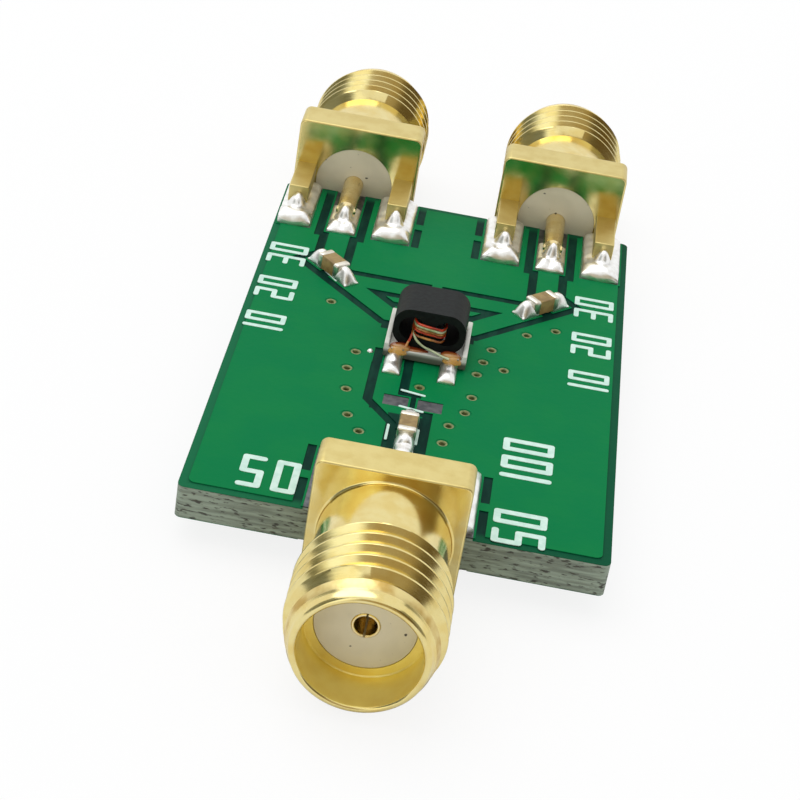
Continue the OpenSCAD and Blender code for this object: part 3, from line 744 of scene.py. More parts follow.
# %% [markdown]
# ## Legs, and the whole body
# Two legs lie on the board and two below it. They are milled from the same piece as the flange, so
# they go into the same mesh, sunk a little way into the flange's rear face. Each ends where its
# solder covers it. The list of solder edges says, for the legs on either side, how long they stay
# bare and how far the solder spreads to the side.

# %% Three connector bodies
leg_w, leg_h, leg_x, leg_play, leg_edge = 1.0, 1.3, 2.54, 0.07, 0.05
leg_in_flange, leg_in_solder = 0.4, 0.05
solder_edges = {"front": ((2.7, 0.99), (2.7, 0.6)), "rear_left": ((2.8, 0.99), (2.95, 0.99)),
                "rear_right": ((2.8, 0.99), (2.95, 0.99))}


def legs(name):
    top, below = pad_top - axis_z, pad_base - leg_play - axis_z
    bm = bmesh.new()
    for side, (bare, _) in zip((-1, 1), solder_edges[name]):
        left, right = side * leg_x - leg_w / 2, side * leg_x + leg_w / 2
        for low, high in ((top, top + leg_h), (-axis_z, below)):
            leg = bmesh.new()
            block(leg, (left, -bare - leg_in_solder, low), (right, leg_in_flange, high), leg_edge)
            join(bm, leg)
    for face in bm.faces:
        face.material_index = SATIN
    return bm


for name in CONNECTORS:
    body = flange()
    for part in (barrel(), thread(), legs(name)):
        join(body, part)
    piece(name + "_connector", moved(body, places[name]), body_golds, "gold",
          name + "_connector_body")

# %% [markdown]
# ## Insulator and contact
# The white insulator fills the bore. The contact in it is a tube in front, with a slit that lets it
# spring on the plug's pin, and a solid pin behind. Both are turned outlines, and the slit is cut
# through the tube afterwards, which is quicker than modelling round it.

# %% Insulators and contacts
pin_r, contact_r, socket_r, socket_depth, slit_w, slit_l = 0.5, 0.56, 0.45, 2.6, 0.08, 1.7
pin_end, pin_tip, contact_play = 3.15, 0.1, 0.005


def contact():
    bm = lathe([(0, -pin_end), (pin_r - pin_tip, -pin_end), (pin_r, pin_tip - pin_end),
                (pin_r, flange_t), (contact_r, flange_t), (contact_r, floor_y - 0.03),
                (contact_r - 0.03, floor_y), (socket_r + 0.02, floor_y), (socket_r, floor_y - 0.02),
                (socket_r, floor_y - socket_depth), (0, floor_y - socket_depth - 0.2)], steps=64)
    slit = bmesh.new()
    block(slit, (-slit_w / 2, floor_y - slit_l, -1), (slit_w / 2, floor_y + 0.2, 1))
    return cut(bm, slit)


def insulator_disc():
    outer, inner, hole = insulator_r, contact_r + contact_play, pin_r + contact_play
    return lathe([(hole, 0.03), (outer - 0.02, 0.03), (outer, 0.05), (outer, floor_y - 0.04),
                  (outer - 0.02, floor_y - 0.02), (inner + 0.02, floor_y - 0.02),
                  (inner, floor_y - 0.04), (inner, flange_t - 0.02), (hole, flange_t - 0.02),
                  (hole, 0.03)])


for name in CONNECTORS:
    piece(name + "_contact", moved(contact(), places[name]), [gold_contact], "contact",
          name + "_connector_contact")
    piece(name + "_insulator", moved(insulator_disc(), places[name]), [insulator.material],
          "insulator", name + "_connector_insulator")

# %% [markdown]
# ## Lumps
# Each joint is a lump that stands on its pad. It starts as a flat grid. Its points are drawn closer
# together towards the rim, where the lump is steep, then extruded, and the upper copy is lifted by
# a height that falls off towards the rim. A slow noise makes each lump a little different.

# %% Lumps
WAVES_PER_MM, SEED_STEP = 1.7, 7.3
LEAST_CELLS, LEAST_HEIGHT = 12, 0.004
LUMP_CORNER = 0.1


def uneven(share, x, y, seed):
    """1, more or less by up to a share, as a slow noise says. Each seed gives another noise."""
    at = Vector((x * WAVES_PER_MM, y * WAVES_PER_MM, seed * SEED_STEP))
    return 1 + share * noise.noise(at)


def lump(low, high, height, cells=26):
    """A closed lump on a rectangle with softened corners. height(x, y) gives its top."""
    low, high = Vector(low), Vector(high)
    centre, half = (low + high) / 2, (high - low) / 2
    cells_x, cells_y = (max(LEAST_CELLS, round(cells * side / max(half))) for side in half)
    bm = bmesh.new()
    base = bmesh.ops.create_grid(bm, x_segments=cells_x, y_segments=cells_y, size=1.0)["verts"]
    for vert in base:
        u, v = (math.sin(t * math.pi / 2) for t in vert.co.xy)
        vert.co.x = centre.x + half.x * u * math.sqrt(1 - LUMP_CORNER * v * v)
        vert.co.y = centre.y + half.y * v * math.sqrt(1 - LUMP_CORNER * u * u)
    grown = bmesh.ops.extrude_face_region(bm, geom=bm.faces[:])["geom"]
    for vert in (part for part in grown if isinstance(part, bmesh.types.BMVert)):
        vert.co.z = max(LEAST_HEIGHT, height(vert.co.x, vert.co.y))
    bmesh.ops.recalc_face_normals(bm, faces=bm.faces)
    return bm


print("a lump has", len(lump((0, 0), (1, 1), lambda x, y: 1).faces), "faces")

# %% [markdown]
# ## Heights of the solder
# A leg stays bare up to its end. The solder in front of it is a swelling, then a shallow saddle, and
# then the toe in two lobes, as wide as the pad. Each of these is a bell, and blend() joins their
# heights with soft valleys. A last factor rounds the whole lump down at the rim of its pad.

# %% Bells and rims
BELL_POWER, ROUND_POWER = 0.75, 3


def bell(x, y, at, size):
    """The height of a soft mound with its middle at a point, and three half lengths."""
    away = min(1.0, math.hypot((x - at[0]) / size[0], (y - at[1]) / size[1]))
    return size[2] * (1 - away * away) ** BELL_POWER


def blend(*heights):
    """The highest of some heights, with soft valleys between them."""
    return sum(height ** ROUND_POWER for height in heights) ** (1 / ROUND_POWER)


def rounded(share):
    """1 in the middle and 0 at the rim, falling as a superellipse does."""
    return max(0.0, 1 - abs(share) ** ROUND_POWER) ** (1 / ROUND_POWER)


def rim(x, half, y, low, high):
    """The rounding at the rim: across the whole width, and from low to high along the pad."""
    return rounded(x / half) * rounded(max(0.0, y - low) / (high - low))


print("half way out, a bell keeps", round(bell(0.5, 0, (0, 0), (1, 1, 1)), 2), "of its height")

# %% Heights on the connectors' pads
pad_end, toe_from, pin_half = 4.74, 4.35, 0.74


def leg_height(x, along, seed, tall, bare, half):
    """Half a pad's width scales the two lobes of the toe, and bare places the swelling."""
    swelling = bell(x, along, (0.03, bare + 0.4), (0.5, 0.66, 0.84))
    left_lobe = bell(x, along, (-0.42 * half, 4.14), (0.7 * half, 0.72, 0.42))
    right_lobe = bell(x, along, (0.4 * half, 4.2), (0.7 * half, 0.7, 0.48))
    shape = blend(0.34, swelling, left_lobe, right_lobe)
    edge = tall * rim(x, half, along, toe_from, pad_end)
    return edge * uneven(0.16, x, along, seed) * shape


def pin_height(x, along, seed):
    swelling = bell(x, along, (0, 3.42), (0.48, 0.6, 0.98))
    left_lobe = bell(x, along, (-0.34, 4.2), (0.46, 0.56, 0.46))
    right_lobe = bell(x, along, (0.34, 4.2), (0.46, 0.56, 0.5))
    shape = blend(0.28, swelling, left_lobe, right_lobe)
    return rim(x, pin_half, along, toe_from, pad_end) * uneven(0.14, x, along, seed) * shape


print("solder is", round(leg_height(0, 3.1, 0, leg_h, 2.7, 0.99), 2), "mm tall at a leg's end")

# %% [markdown]
# ## Solder on the connectors
# The solder of one connector is drawn in the connector's frame, on four legs and the pin. A matrix
# with a negative scale turns a lump towards the board, or over to the underside, so the normals are
# worked out again at the end. The front connector has a long bead on its track too, and where the
# outer pads end at a side of the board, the solder is cut off with them.

# %% Solder on one connector
solder_from, below_tall, pin_solder_l = 0.3, 0.85, 2.7
bead_half, bead_tall = 0.42, 0.56


def connector_solder(name, seed):
    toward_board = Matrix.Scale(-1, 4, (0, 1, 0))
    above = Matrix.Translation((0, 0, pad_top - axis_z)) @ toward_board
    upside_down = Matrix.Scale(-1, 4, (0, 0, 1))
    below = Matrix.Translation((0, 0, pad_base - axis_z)) @ toward_board @ upside_down
    bm = bmesh.new()
    for k, (side, (bare, half)) in enumerate(zip((-1, 1), solder_edges[name])):
        aside = Matrix.Translation((side * leg_x, 0, 0))
        for place, tall in ((above, leg_h), (below, below_tall)):
            leg = lump((-half, solder_from), (half, pad_end),
                       lambda x, y: leg_height(x, y, seed + k, tall, bare, half), cells=60)
            join(bm, moved(leg, aside @ place))
    pin = lump((-pin_half, pad_end - pin_solder_l), (pin_half, pad_end),
               lambda x, y: pin_height(x, y, seed + 9), cells=48)
    join(bm, moved(pin, above))
    return bm


def track_bead(middle_x):
    """A low bead along the track from the front pin's pad to the capacitor."""
    def height(x, y):
        return bead_tall * rounded((x - middle_x) / bead_half) * uneven(0.2, x, y, 3)
    from_y = board_low.y + pad_end - 0.3
    to_y = middle("front_capacitor_ceramic").y - 1.45
    bead = lump((middle_x - bead_half, from_y), (middle_x + bead_half, to_y), height)
    return moved(bead, Matrix.Translation((0, 0, pad_top)))


print("solder reaches", pad_end, "mm behind the flange")

# %% Solder on all connectors
side_margin = 0.16


def trim_to_board(bm):
    """Cuts off what would hang over a side edge of the board."""
    for side in (-1, 1):
        bmesh.ops.bisect_plane(bm, geom=bm.verts[:] + bm.edges[:] + bm.faces[:], dist=SAME_PLACE,
                               plane_co=(side * (board_high.x - side_margin), 0, 0),
                               plane_no=(side, 0, 0), clear_outer=True)
        bmesh.ops.holes_fill(bm, edges=[edge for edge in bm.edges if edge.is_boundary])


for seed, name in enumerate(CONNECTORS):
    bm = moved(connector_solder(name, 20 * seed), places[name])
    if name == "front":
        join(bm, track_bead(places[name].translation.x))
    trim_to_board(bm)
    bmesh.ops.recalc_face_normals(bm, faces=bm.faces)
    piece(name + "_joints", bm, [solder], "solder", name + "_connector_solder", sharp=FROZEN)

# %% [markdown]
# ## Chip capacitors
# A chip capacitor is a fired ceramic block with a metal cap on each end. The caps are dipped, so
# they are a little fatter than the block and have soft edges. Solder climbs their ends.

# %% Capacitor shapes
cap_l, cap_w, cap_h, cap_end, cap_toe = 1.6, 0.85, 0.8, 0.4, 1.54
cap_inset, cap_edge, cap_end_edge = 0.03, 0.05, 0.13
toe_half, toe_start = cap_w / 2 + 0.02, 0.46
cap_turns = {"front": 90, "rear_left": -45, "rear_right": 45}


def capacitor_place(name):
    at = middle(name + "_capacitor_ceramic")
    turn = Matrix.Rotation(math.radians(cap_turns[name]), 4, "Z")
    return Matrix.Translation((at.x, at.y, pad_top)) @ turn


def capacitor_toe(x, y, seed):
    """Solder on one end: x runs out from the middle of the capacitor."""
    shape = blend(0.2, bell(x, y, (0.95, 0), (0.66, 0.6, 0.72)))
    return rim(y, toe_half, x, 1.2, cap_toe) * uneven(0.14, x, y, seed) * shape


def ceramic_block():
    x, y = cap_l / 2 - cap_edge, cap_w / 2 - cap_inset
    bm = bmesh.new()
    block(bm, (-x, -y, cap_inset), (x, y, cap_h - cap_inset), cap_edge)
    return bm


print("capacitors stand", cap_h, "mm tall")

# %% Three capacitors
for seed, name in enumerate(CONNECTORS):
    place = capacitor_place(name)
    ends, toes = bmesh.new(), bmesh.new()
    for k, side in enumerate((-1, 1)):
        low, high = sorted((side * (cap_l / 2 - cap_end), side * cap_l / 2))
        block(ends, (low, -cap_w / 2, 0.0), (high, cap_w / 2, cap_h), cap_end_edge, segments=5)
        toe = lump((toe_start, -toe_half), (cap_toe, toe_half),
                   lambda x, y: capacitor_toe(x, y, 3 * seed + k), cells=32)
        join(toes, moved(toe, Matrix.Rotation(0 if side > 0 else math.pi, 4, "Z")))
    bmesh.ops.recalc_face_normals(toes, faces=toes.faces)
    piece(name + "_chip", moved(ceramic_block(), place), [ceramic], "capacitor",
          name + "_capacitor_ceramic")
    piece(name + "_chip_ends", moved(ends, place), [tin], "capacitor_end",
          name + "_capacitor_ends")
    piece(name + "_chip_joints", moved(toes, place), [solder], "solder",
          name + "_capacitor_solder", sharp=FROZEN)

# %% [markdown]
# ## Transformer base
# The white base is a moulded tray with two side rails, which hold the core between them. It is
# three blocks with soft edges, all measured from the solids.

# %% Transformer base
base_low, base_high = box_mm("transformer_base")
core_low, core_high = box_mm("transformer_core")
rail_w = (base_high.x - base_low.x - core_high.x + core_low.x) / 2 - 0.03
rail_side, rail_end, rail_lift, base_edge = 0.005, 0.012, 0.06, 0.05

tray = bmesh.new()
block(tray, base_low, (base_high.x, base_high.y, core_low.z), base_edge)
for x in (base_low.x + rail_side, base_high.x - rail_w - rail_side):
    block(tray, (x, base_low.y + rail_end, base_low.z + rail_lift),
          (x + rail_w, base_high.y - rail_end, base_high.z), base_edge)
piece("transformer_tray", tray, [moulding.material], "base", "transformer_base")

# %% [markdown]
# ## Transformer core
# The core is a block of ferrite with rounded long edges and two holes, which cut() drills. Inside
# the holes it is darker still, because hardly any light gets there, so the faces of their walls
# get a second material.

# %% Transformer core
trafo = middle("transformer_core")
hole_r, hole_x, core_r = 0.6, 0.8, 0.82

core = bmesh.new()
block(core, core_low, core_high)
bevel(core, edges_along(core, "y", 1), core_r, segments=16)
drill = moved(rod(hole_r, -2, 2, steps=64), Matrix.Translation((hole_x, 0, 0)))
join(drill, moved(drill.copy(), Matrix.Translation((-2 * hole_x, 0, 0))))
core = cut(core, moved(drill, Matrix.Translation(trafo)))
for face in core.faces:
    at = face.calc_center_median() - trafo
    in_hole = math.hypot(abs(at.x) - hole_x, at.z) < hole_r
    face.material_index = int(in_hole and abs(face.normal.y) < 0.5)
piece("transformer_ferrite", core, [ferrite, bore_shade], "ferrite", "transformer_core")
print("core", core_low, core_high)

# %% [markdown]
# ## Transformer: the wires' way
# Three enamelled wires are wound round the wall between the two holes. Each path is a short list of
# places round that wall, worked out turn by turn. The wires lie in rows, one below the other, and
# the rows take turns: red, green, copper, and red again. All places are measured from the core's
# middle.

# %% Turns and leads
wire_r, row = 0.0575, 0.125
top_row, slant_rows, wires = 2.9, 1.4, 3
face_y = (core_high.y - core_low.y) / 2 + wire_r + 0.02
wall_x = hole_x - 0.14
tab_z = core_low.z - trafo.z + 0.1 + wire_r
tab_x, tab_y = 1.0, face_y + 0.21


def row_z(turn, wire):
    return (top_row - wires * turn - wire) * row


def front_turn(turn, wire, sag):
    """Left to right across the front of the wall, and a little lower on the right."""
    high, low = row_z(turn, wire), row_z(turn, wire) - slant_rows * row
    return [(-wall_x, 0, high), (-wall_x + 0.06, -face_y + 0.08, high),
            (-0.2, -face_y - sag, 0.6 * high + 0.4 * low + sag * 0.5),
            (0.2, -face_y - sag, 0.4 * high + 0.6 * low + sag * 0.4),
            (wall_x - 0.06, -face_y + 0.08, low), (wall_x, 0, low)]


def rear_turn(turn, wire):
    """Back behind the wall, from right to left, down to the next turn's row."""
    high, low = row_z(turn, wire) - slant_rows * row, row_z(turn + 1, wire)
    return [(wall_x - 0.06, face_y - 0.06, high), (0, face_y + 0.04, (high + low) / 2),
            (-wall_x + 0.06, face_y - 0.06, low)]


def lead(side, face, out):
    """From inside a hole out of its mouth, and down to the terminal's tab."""
    in_hole, tab_out = side * (wall_x + 0.1), face * (tab_y + out)
    return [(in_hole, 0.45 * face, -0.06), (in_hole, face * (face_y - 0.12), -0.32),
            (side * 0.86, face * (face_y + 0.1), -0.6), (side * tab_x, tab_out, tab_z),
            (side * (tab_x + 0.3), tab_out, tab_z)]


print("rows are", row, "mm apart, from", round(row_z(0, 0), 3), "down to", round(row_z(1, 2), 3))

# %% [markdown]
# ## Transformer: wires
# A Bezier curve with automatic handles runs smoothly through the places, and a round bevel makes it
# a tube, which is read back as a mesh. Red and copper make a second turn. Green ends at the front
# right: it leaves the left hole and hangs across the front.

# %% Tube
def tube(points, radius, at):
    """A round tube along a smooth curve through some points, as a bmesh."""
    data = bpy.data.curves.new("path", "CURVE")
    data.dimensions, data.bevel_depth, data.bevel_resolution = "3D", radius, 3
    data.resolution_u, data.use_fill_caps = 8, True
    line = data.splines.new("BEZIER")
    line.bezier_points.add(len(points) - 1)
    for knot, point in zip(line.bezier_points, points):
        knot.co = at + Vector(point)
        knot.handle_left_type = knot.handle_right_type = "AUTO"
    holder = in_scene("path", data)
    evaluated = holder.evaluated_get(bpy.context.evaluated_depsgraph_get())
    mesh = bpy.data.meshes.new_from_object(evaluated)
    bm = bmesh.new()
    bm.from_mesh(mesh)
    bpy.data.objects.remove(holder)
    bpy.data.curves.remove(data)
    bpy.data.meshes.remove(mesh)
    return closed(bm)


print("a straight tube has", len(tube([(0, 0, 0), (1, 0, 0)], wire_r, trafo).faces), "faces")

# %% Wires
hanging_end = [(-wall_x, 0, row_z(1, 1) - 0.05), (-0.6, -face_y - 0.02, -0.36),
               (-0.25, -face_y - 0.14, -0.64), (0.38, -face_y - 0.3, -0.79),
               (0.8, -face_y - 0.46, -0.86), (1.12, -face_y - 0.58, -0.86)]
windings = {
    "red": (lead(-1, -1, -0.1)[::-1] + front_turn(0, 0, 0.06) + rear_turn(0, 0)
            + front_turn(1, 0, 0.04) + lead(1, 1, 0)),
    "green": lead(-1, 1, 0)[::-1] + front_turn(0, 1, 0.12) + rear_turn(0, 1) + hanging_end,
    "copper": (lead(-1, -1, 0.1)[::-1] + front_turn(0, 2, 0.08) + rear_turn(0, 2)
               + front_turn(1, 2, 0.05) + lead(1, 1, 0.12)),
}
for colour, path in windings.items():
    piece("winding_" + colour, tube(path, wire_r, trafo), [enamel[colour]], "wire_" + colour,
          "transformer_wire_" + colour)

# %% [markdown]
# ## Transformer: terminals
# A terminal is a strip bent three times: a foot on the pad, a riser at the base's edge, and a tab
# on its floor. Three thin blocks with soft edges stand for one, and all four go into one mesh.

# %% Terminals
terminal_x, terminal_w, terminal_t, foot_l, tab_l = 1.27, 0.6, 0.1, 0.75, 0.35
terminal_edge = 0.03
tab_h = core_low.z - pad_top
CORNERS = ((-1, -1), (1, -1), (-1, 1), (1, 1))
on_base = Matrix.Translation((trafo.x, trafo.y, pad_top))


def terminal(bm, x, face):
    """face is -1 at the front of the base and 1 behind it."""
    edge = face * (base_high.y - base_low.y) / 2
    outside = edge + face * terminal_t
    left, right = x - terminal_w / 2, x + terminal_w / 2
    for y0, y1, low, high in ((edge, edge + face * foot_l, 0, terminal_t),
                              (edge, outside, 0, tab_h + terminal_t),
                              (edge - face * tab_l, outside, tab_h, tab_h + terminal_t)):
        block(bm, (left, min(y0, y1), low), (right, max(y0, y1), high), terminal_edge, segments=2)


terminals = bmesh.new()
for side, face in CORNERS:
    terminal(terminals, side * terminal_x, face)
piece("transformer_clips", moved(terminals, on_base), [tin], "terminal", "transformer_terminals")

# %% [markdown]
# ## Transformer: varnish
# A drop of varnish holds the wire's end on each tab, and a second one runs down from it. One more,
# long and flat, lies in front of the core. A drop is half a ball with a slightly uneven skin,
# squashed to size.

# %% Varnish
tab_drop, riser_drop, long_drop = (0.5, 0.3, 0.24), (0.45, 0.25, 0.32), (0.7, 0.2, 0.1)


def drop(bm, at, size):
    """A flattened half sphere of varnish, whose size is three half lengths."""
    made = bmesh.ops.create_icosphere(bm, subdivisions=4, radius=1.0)["verts"]
    for vert in made:
        vert.co *= uneven(0.06, vert.co.x, vert.co.y + at[0], at[1])
        vert.co.z = max(0.0, vert.co.z)
    bmesh.ops.scale(bm, vec=size, verts=made)
    bmesh.ops.translate(bm, vec=at, verts=made)


drops = bmesh.new()
for side, face in CORNERS:
    drop(drops, (side * (terminal_x - 0.1), face * 1.5, tab_h + 0.02), tab_drop)
    drop(drops, (side * terminal_x, face * 1.68, tab_h - 0.16), riser_drop)
drop(drops, (-0.55, -1.42, tab_h - 0.01), long_drop)
piece("transformer_drops", moved(drops, on_base), [varnish.material], "varnish",
      "transformer_varnish")

# %% [markdown]
# ## Transformer: solder
# Each foot is under a lump of solder that fills its pad, higher over the foot than at the far end
# of the pad. A small splash of solder lies beside the base, at the front left.

# %% Solder on the feet
foot_half_x, foot_half_y, foot_y = 0.415, 0.81, 2.28
splash_x, splash_y, splash_half = -2.41, -1.39, 0.15
pattern_x = places["front"].translation.x


def foot_height(x, out, seed):
    """out runs from the base to the pad's far end."""
    shape = blend(0.24, bell(x, out, (0, -0.35), (0.5, 0.6, 0.46)),
                  bell(x, out, (0.02, 0.28), (0.56, 0.6, 0.36)))
    edge = rim(x, foot_half_x, abs(out), 0.55, foot_half_y)
    return edge * uneven(0.16, x, out, seed) * shape


feet = bmesh.new()
for k, (side, face) in enumerate(CORNERS):
    foot = lump((-foot_half_x, -foot_half_y), (foot_half_x, foot_half_y),
                lambda x, y: foot_height(x, face * y, 50 + k), cells=34)
    join(feet, moved(foot, Matrix.Translation((side * terminal_x, face * foot_y, 0))))
join(feet, lump((splash_x - splash_half, splash_y - splash_half),
                (splash_x + splash_half, splash_y + splash_half),
                lambda x, y: bell(x, y, (splash_x, splash_y), (0.16, 0.16, 0.14)), cells=12))
piece("transformer_joints", moved(feet, Matrix.Translation((pattern_x, trafo.y, pad_top))),
      [solder], "solder", "transformer_solder", sharp=FROZEN)

# %% [markdown]
# ## Plated holes
# The holes through the board are lined with copper, and the lacquer leaves a narrow ring of it bare
# on both faces. One turned outline, a tube with a flat lip at each end, is copied to every hole
# that the picture shows. The outer part of the lip is under the lacquer, so it has the lacquer's
# finish. Across the board, the places are measured from the front connector's axis.

# %% Plated holes
VIAS = ((-4.8, 2.8), (-3.05, -1.4), (-3.25, -2.95), (-3.05, -4.75), (-2.7, -6.85), (-2.05, -8.0),
        (1.6, -7.75), (1.75, -6.25), (2.35, -4.95), (2.55, -3.55), (2.6, -1.45), (2.8, -0.25),
        (3.1, 1.0), (3.8, -0.65), (4.65, 3.0), (6.0, 3.9), (0.15, -3.5))
via_r, via_hole_r, bare_r, lip_r, lip_t = 0.2, 0.14, 0.235, 0.31, 0.012


def plated_hole():
    """Stands along Y, with the height of the board's own faces."""
    under, over = pad_base - lip_t, pad_top + lip_t
    bm = lathe([(via_hole_r, pad_base - 0.005), (bare_r, under), (lip_r, under),
                (lip_r, pad_base + 0.01), (via_r, pad_base + 0.02), (via_r, pad_top - 0.02),
                (lip_r, pad_top - 0.01), (lip_r, over), (bare_r, over), (via_hole_r + 0.03, over),
                (via_hole_r, pad_top - 0.02), (via_hole_r, pad_base - 0.005)], steps=24)
    for face in bm.faces:
        at = face.calc_center_median()
        face.material_index = int(math.hypot(at.x, at.z) > bare_r)
    return bm


holes = bmesh.new()
upright = Matrix.Rotation(math.pi / 2, 4, "X")
for x, y in VIAS:
    join(holes, moved(plated_hole(), Matrix.Translation((pattern_x + x, y, 0)) @ upright))
piece("plated_holes", holes, [rim_copper, mask.material], "copper", "via_plating")

# %% [markdown]
# ## Print
# The pale print on the lacquer is a few hundredths of a millimetre of ink. Each stroke is a thin
# block with rounded ends. The marks are plain: bars beside the parts, and port numbers drawn
# from seven short strokes like a clock's digits.

# %% Strokes of ink
ink_t, ink_sunk, stroke_step = 0.02, 0.01, 0.001


def stroke(bm, start, end, width, lift=0.0):
    """lift keeps the tops of crossing strokes apart."""
    run, centre = end - start, (start + end) / 2
    reach = run.length / 2 + width / 2
    made = bmesh.new()
    block(made, (-reach, -width / 2, -ink_sunk), (reach, width / 2, ink_t + lift))
    bevel(made, edges_along(made, "z", ink_sunk / 2), width * 0.45, segments=5)
    turn = Matrix.Rotation(math.atan2(run.y, run.x), 4, "Z")
    join(bm, moved(made, Matrix.Translation((centre.x, centre.y, mask_top)) @ turn))


marks = bmesh.new()
for x0, y0, x1, y1, width in (
        (-0.85, -7.1, -0.85, -8.25, 0.12), (0.48, -7.1, 0.48, -8.25, 0.12),
        (-0.59, -4.03, 0.43, -4.19, 0.14), (-0.53, -5.4, 0.48, -5.56, 0.14)):
    stroke(marks, Vector((pattern_x + x0, y0)), Vector((pattern_x + x1, y1)), width)
stroke(marks, Vector((-6.17, 6.21)), Vector((-5.11, 4.84)), 0.1)
print("bars have", len(marks.faces), "faces")

# %% Numbers of seven strokes
SEGMENTS = {"0": "abcdef", "1": "bc", "2": "abged", "3": "abgcd", "5": "afgcd"}
STROKES = {"a": ((0, 2), (1, 2)), "b": ((1, 1), (1, 2)), "c": ((1, 0), (1, 1)),
           "d": ((0, 0), (1, 0)), "e": ((0, 0), (0, 1)), "f": ((0, 1), (0, 2)),
           "g": ((0, 1), (1, 1))}
digit_w, digit_run = 0.36, 0.71


def digit(bm, sign, at, turn, tall, width):
    """A number from seven strokes, whose upright stands along Y before it is turned."""
    w, h = tall * digit_w, tall / 2
    place = Matrix.Translation((*at, 0)) @ Matrix.Rotation(math.radians(turn), 4, "Z")
    for k, segment in enumerate(SEGMENTS[sign]):
        start, end = ((place @ Vector((x * w, y * h, 0))).xy for x, y in STROKES[segment])
        stroke(bm, start, end, width, stroke_step * k)


def number(bm, signs, at, turn, tall, width):
    run = Matrix.Rotation(math.radians(turn), 2) @ Vector((digit_run * tall, 0))
    for k, sign in enumerate(signs):
        if sign != " ":
            digit(bm, sign, Vector(at) + k * run, turn, tall, width)


for signs, at, turn, tall, width in (("50", (-6.6, -13.6), 0, 2.05, 0.3),
                                     ("50 100", (6.1, -14.2), 90, 1.97, 0.3),
                                     ("10 20 30", (-6.95, -1.35), 90, 1.66, 0.24),
                                     ("10 20 30", (8.35, -1.4), 90, 1.7, 0.24)):
    number(marks, signs, at, turn, tall, width)
piece("print", marks, [ink], None)

# %% [markdown]
# ## World
# The light of the room comes from all sides, a little below full strength, so that pale pieces keep
# their tone. The camera, mirrors and glass see the world at full strength, which is plain white.

# %% World
world = bpy.data.worlds.new("studio")
world.use_nodes = True
bpy.context.scene.world = world
sky = Tree(world.node_tree)
camera_ray, glossy_ray, glass_ray = (
    sky.node("ShaderNodeLightPath", output=ray)
    for ray in ("Is Camera Ray", "Is Glossy Ray", "Is Transmission Ray"))
white_sky = sky.node("ShaderNodeBackground", {}, {"Color": (1, 1, 1, 1), "Strength": 1.0})
fill = sky.node("ShaderNodeBackground", {}, {"Color": (0.97, 0.98, 1, 1), "Strength": 0.8})
both_skies = sky.node("ShaderNodeMixShader", {}, {
    0: camera_ray.larger(glossy_ray).larger(glass_ray), 1: fill, 2: white_sky})
sky.node("ShaderNodeOutputWorld", {}, {"Surface": both_skies})
print("world has", len(sky.tree.nodes), "nodes")

# %% [markdown]
# ## Floor
# The board lies on a sheet of pale paper. In the picture the sheet is almost white and still shows
# a soft shadow. So most of what the camera sees of it is white light of its own, and the rest is
# the lit paper with its shadow. Mirrors see the lit paper only.

# %% Floor
floor_half, floor_drop, own_light = 1.5, 0.00002, 0.85

sheet = bmesh.new()
bmesh.ops.create_grid(sheet, x_segments=1, y_segments=1, size=floor_half)
bmesh.ops.translate(sheet, vec=(0, 0, -floor_drop), verts=sheet.verts)
paper = Finish("pale_floor", roughness=0.9)
fibres = paper.noise(0.08, 2.0)
paper.colour(fibres, (0.94, 0.94, 0.93, 1), (0.92, 0.92, 0.91, 1))
seen_directly = paper.node("ShaderNodeLightPath", output="Is Camera Ray")
white_paper = paper.node("ShaderNodeEmission", {}, {"Color": (1, 1, 1, 1), "Strength": 1.0})
paper.end_with(paper.node("ShaderNodeMixShader", {}, {
    0: seen_directly * own_light, 1: paper.shader, 2: white_paper}))
floor = in_scene("floor", as_mesh(sheet, "floor"))
floor.data.materials.append(paper.material)
print("floor", 2 * floor_half, "m wide")

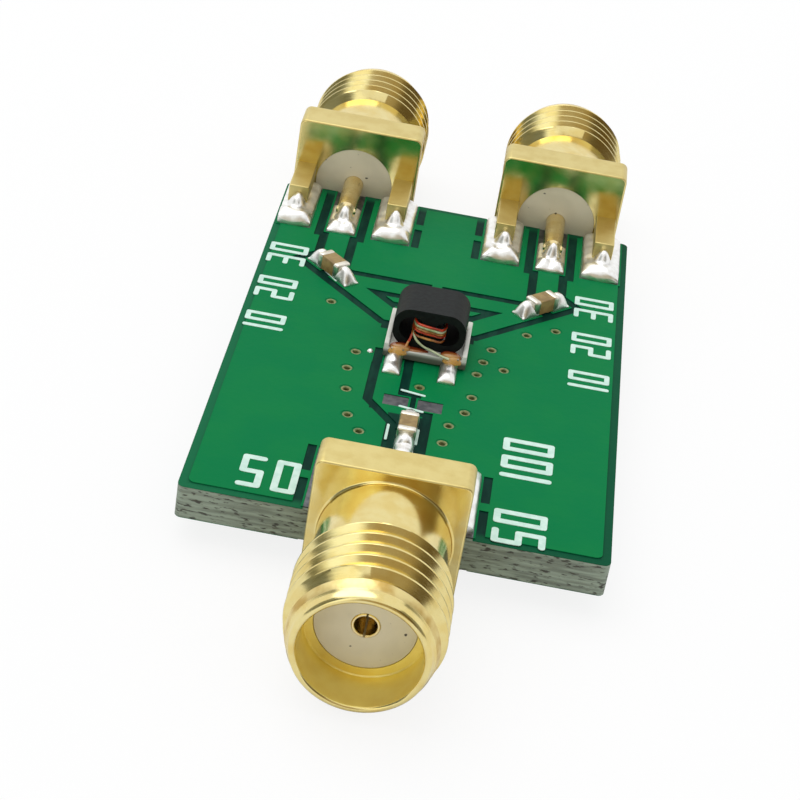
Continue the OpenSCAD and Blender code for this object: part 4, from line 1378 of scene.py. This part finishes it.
# %% [markdown]
# ## What the gold mirrors
# Gold looks like what stands round it. On the real connectors a bright window, dark furniture and
# warm brown walls show as broad bands. A bent wall behind the camera carries these bands, from
# left to right, as the stops of a colour ramp. Only mirrors see it: it is hidden from the camera
# and from diffuse light, and it throws no shadow, so the other finishes stay as they are lit.

# %% Surroundings
wall_r, wall_h = 0.6, 0.62

bm = bmesh.new()
wall_edge = [bm.verts.new((-wall_r, 0, z)) for z in (0, wall_h)]
bmesh.ops.spin(bm, geom=wall_edge + [bm.edges.new(wall_edge)], cent=(0, 0, 0), axis=(0, 0, 1),
               angle=math.pi, steps=48)
paint = Finish("surroundings", roughness=1.0, base_color=(0, 0, 0, 1), specular_ior_level=0.0,
               emission_strength=1.0)
across = paint.axis("X") * (MM / (2 * wall_r)) + 0.5
paint.set("Emission Color", paint.node("ShaderNodeValToRGB", {"stops": (
    (0.0, (0.3, 0.31, 0.28, 1)), (0.17, (0.14, 0.15, 0.12, 1)), (0.22, (1.3, 1.35, 1.35, 1)),
    (0.37, (1.3, 1.35, 1.35, 1)), (0.41, (0.5, 0.42, 0.3, 1)), (0.74, (0.42, 0.34, 0.2, 1)),
    (0.8, (0.12, 0.09, 0.04, 1)), (0.91, (0.14, 0.1, 0.05, 1)), (0.96, (0.3, 0.3, 0.26, 1)))},
    {"Fac": across}))
wall = in_scene("surroundings", as_mesh(bm, "surroundings"))
wall.data.materials.append(paint.material)
wall.visible_camera = wall.visible_diffuse = wall.visible_shadow = False
print("wall", 2 * wall_r, "m wide and", wall_h, "m high")

# %% [markdown]
# ## Key lamp
# One large soft lamp stands high up, to the left and a little behind the board. It draws the
# highlights on solder and wire, and the soft shadow on the paper.

# %% Key lamp
key_at = Vector((-0.2, 0.15, 0.55))
key_size, key_watts = 0.6, 1.3

key = bpy.data.lights.new("key", "AREA")
key.shape, key.size, key.energy = "DISK", key_size, key_watts
lamp = in_scene("key", key)
lamp.location = key_at
lamp.rotation_euler = (-key_at).to_track_quat("-Z", "Y").to_euler()
print("lamp", round(key_at.length, 2), "m away")

# %% [markdown]
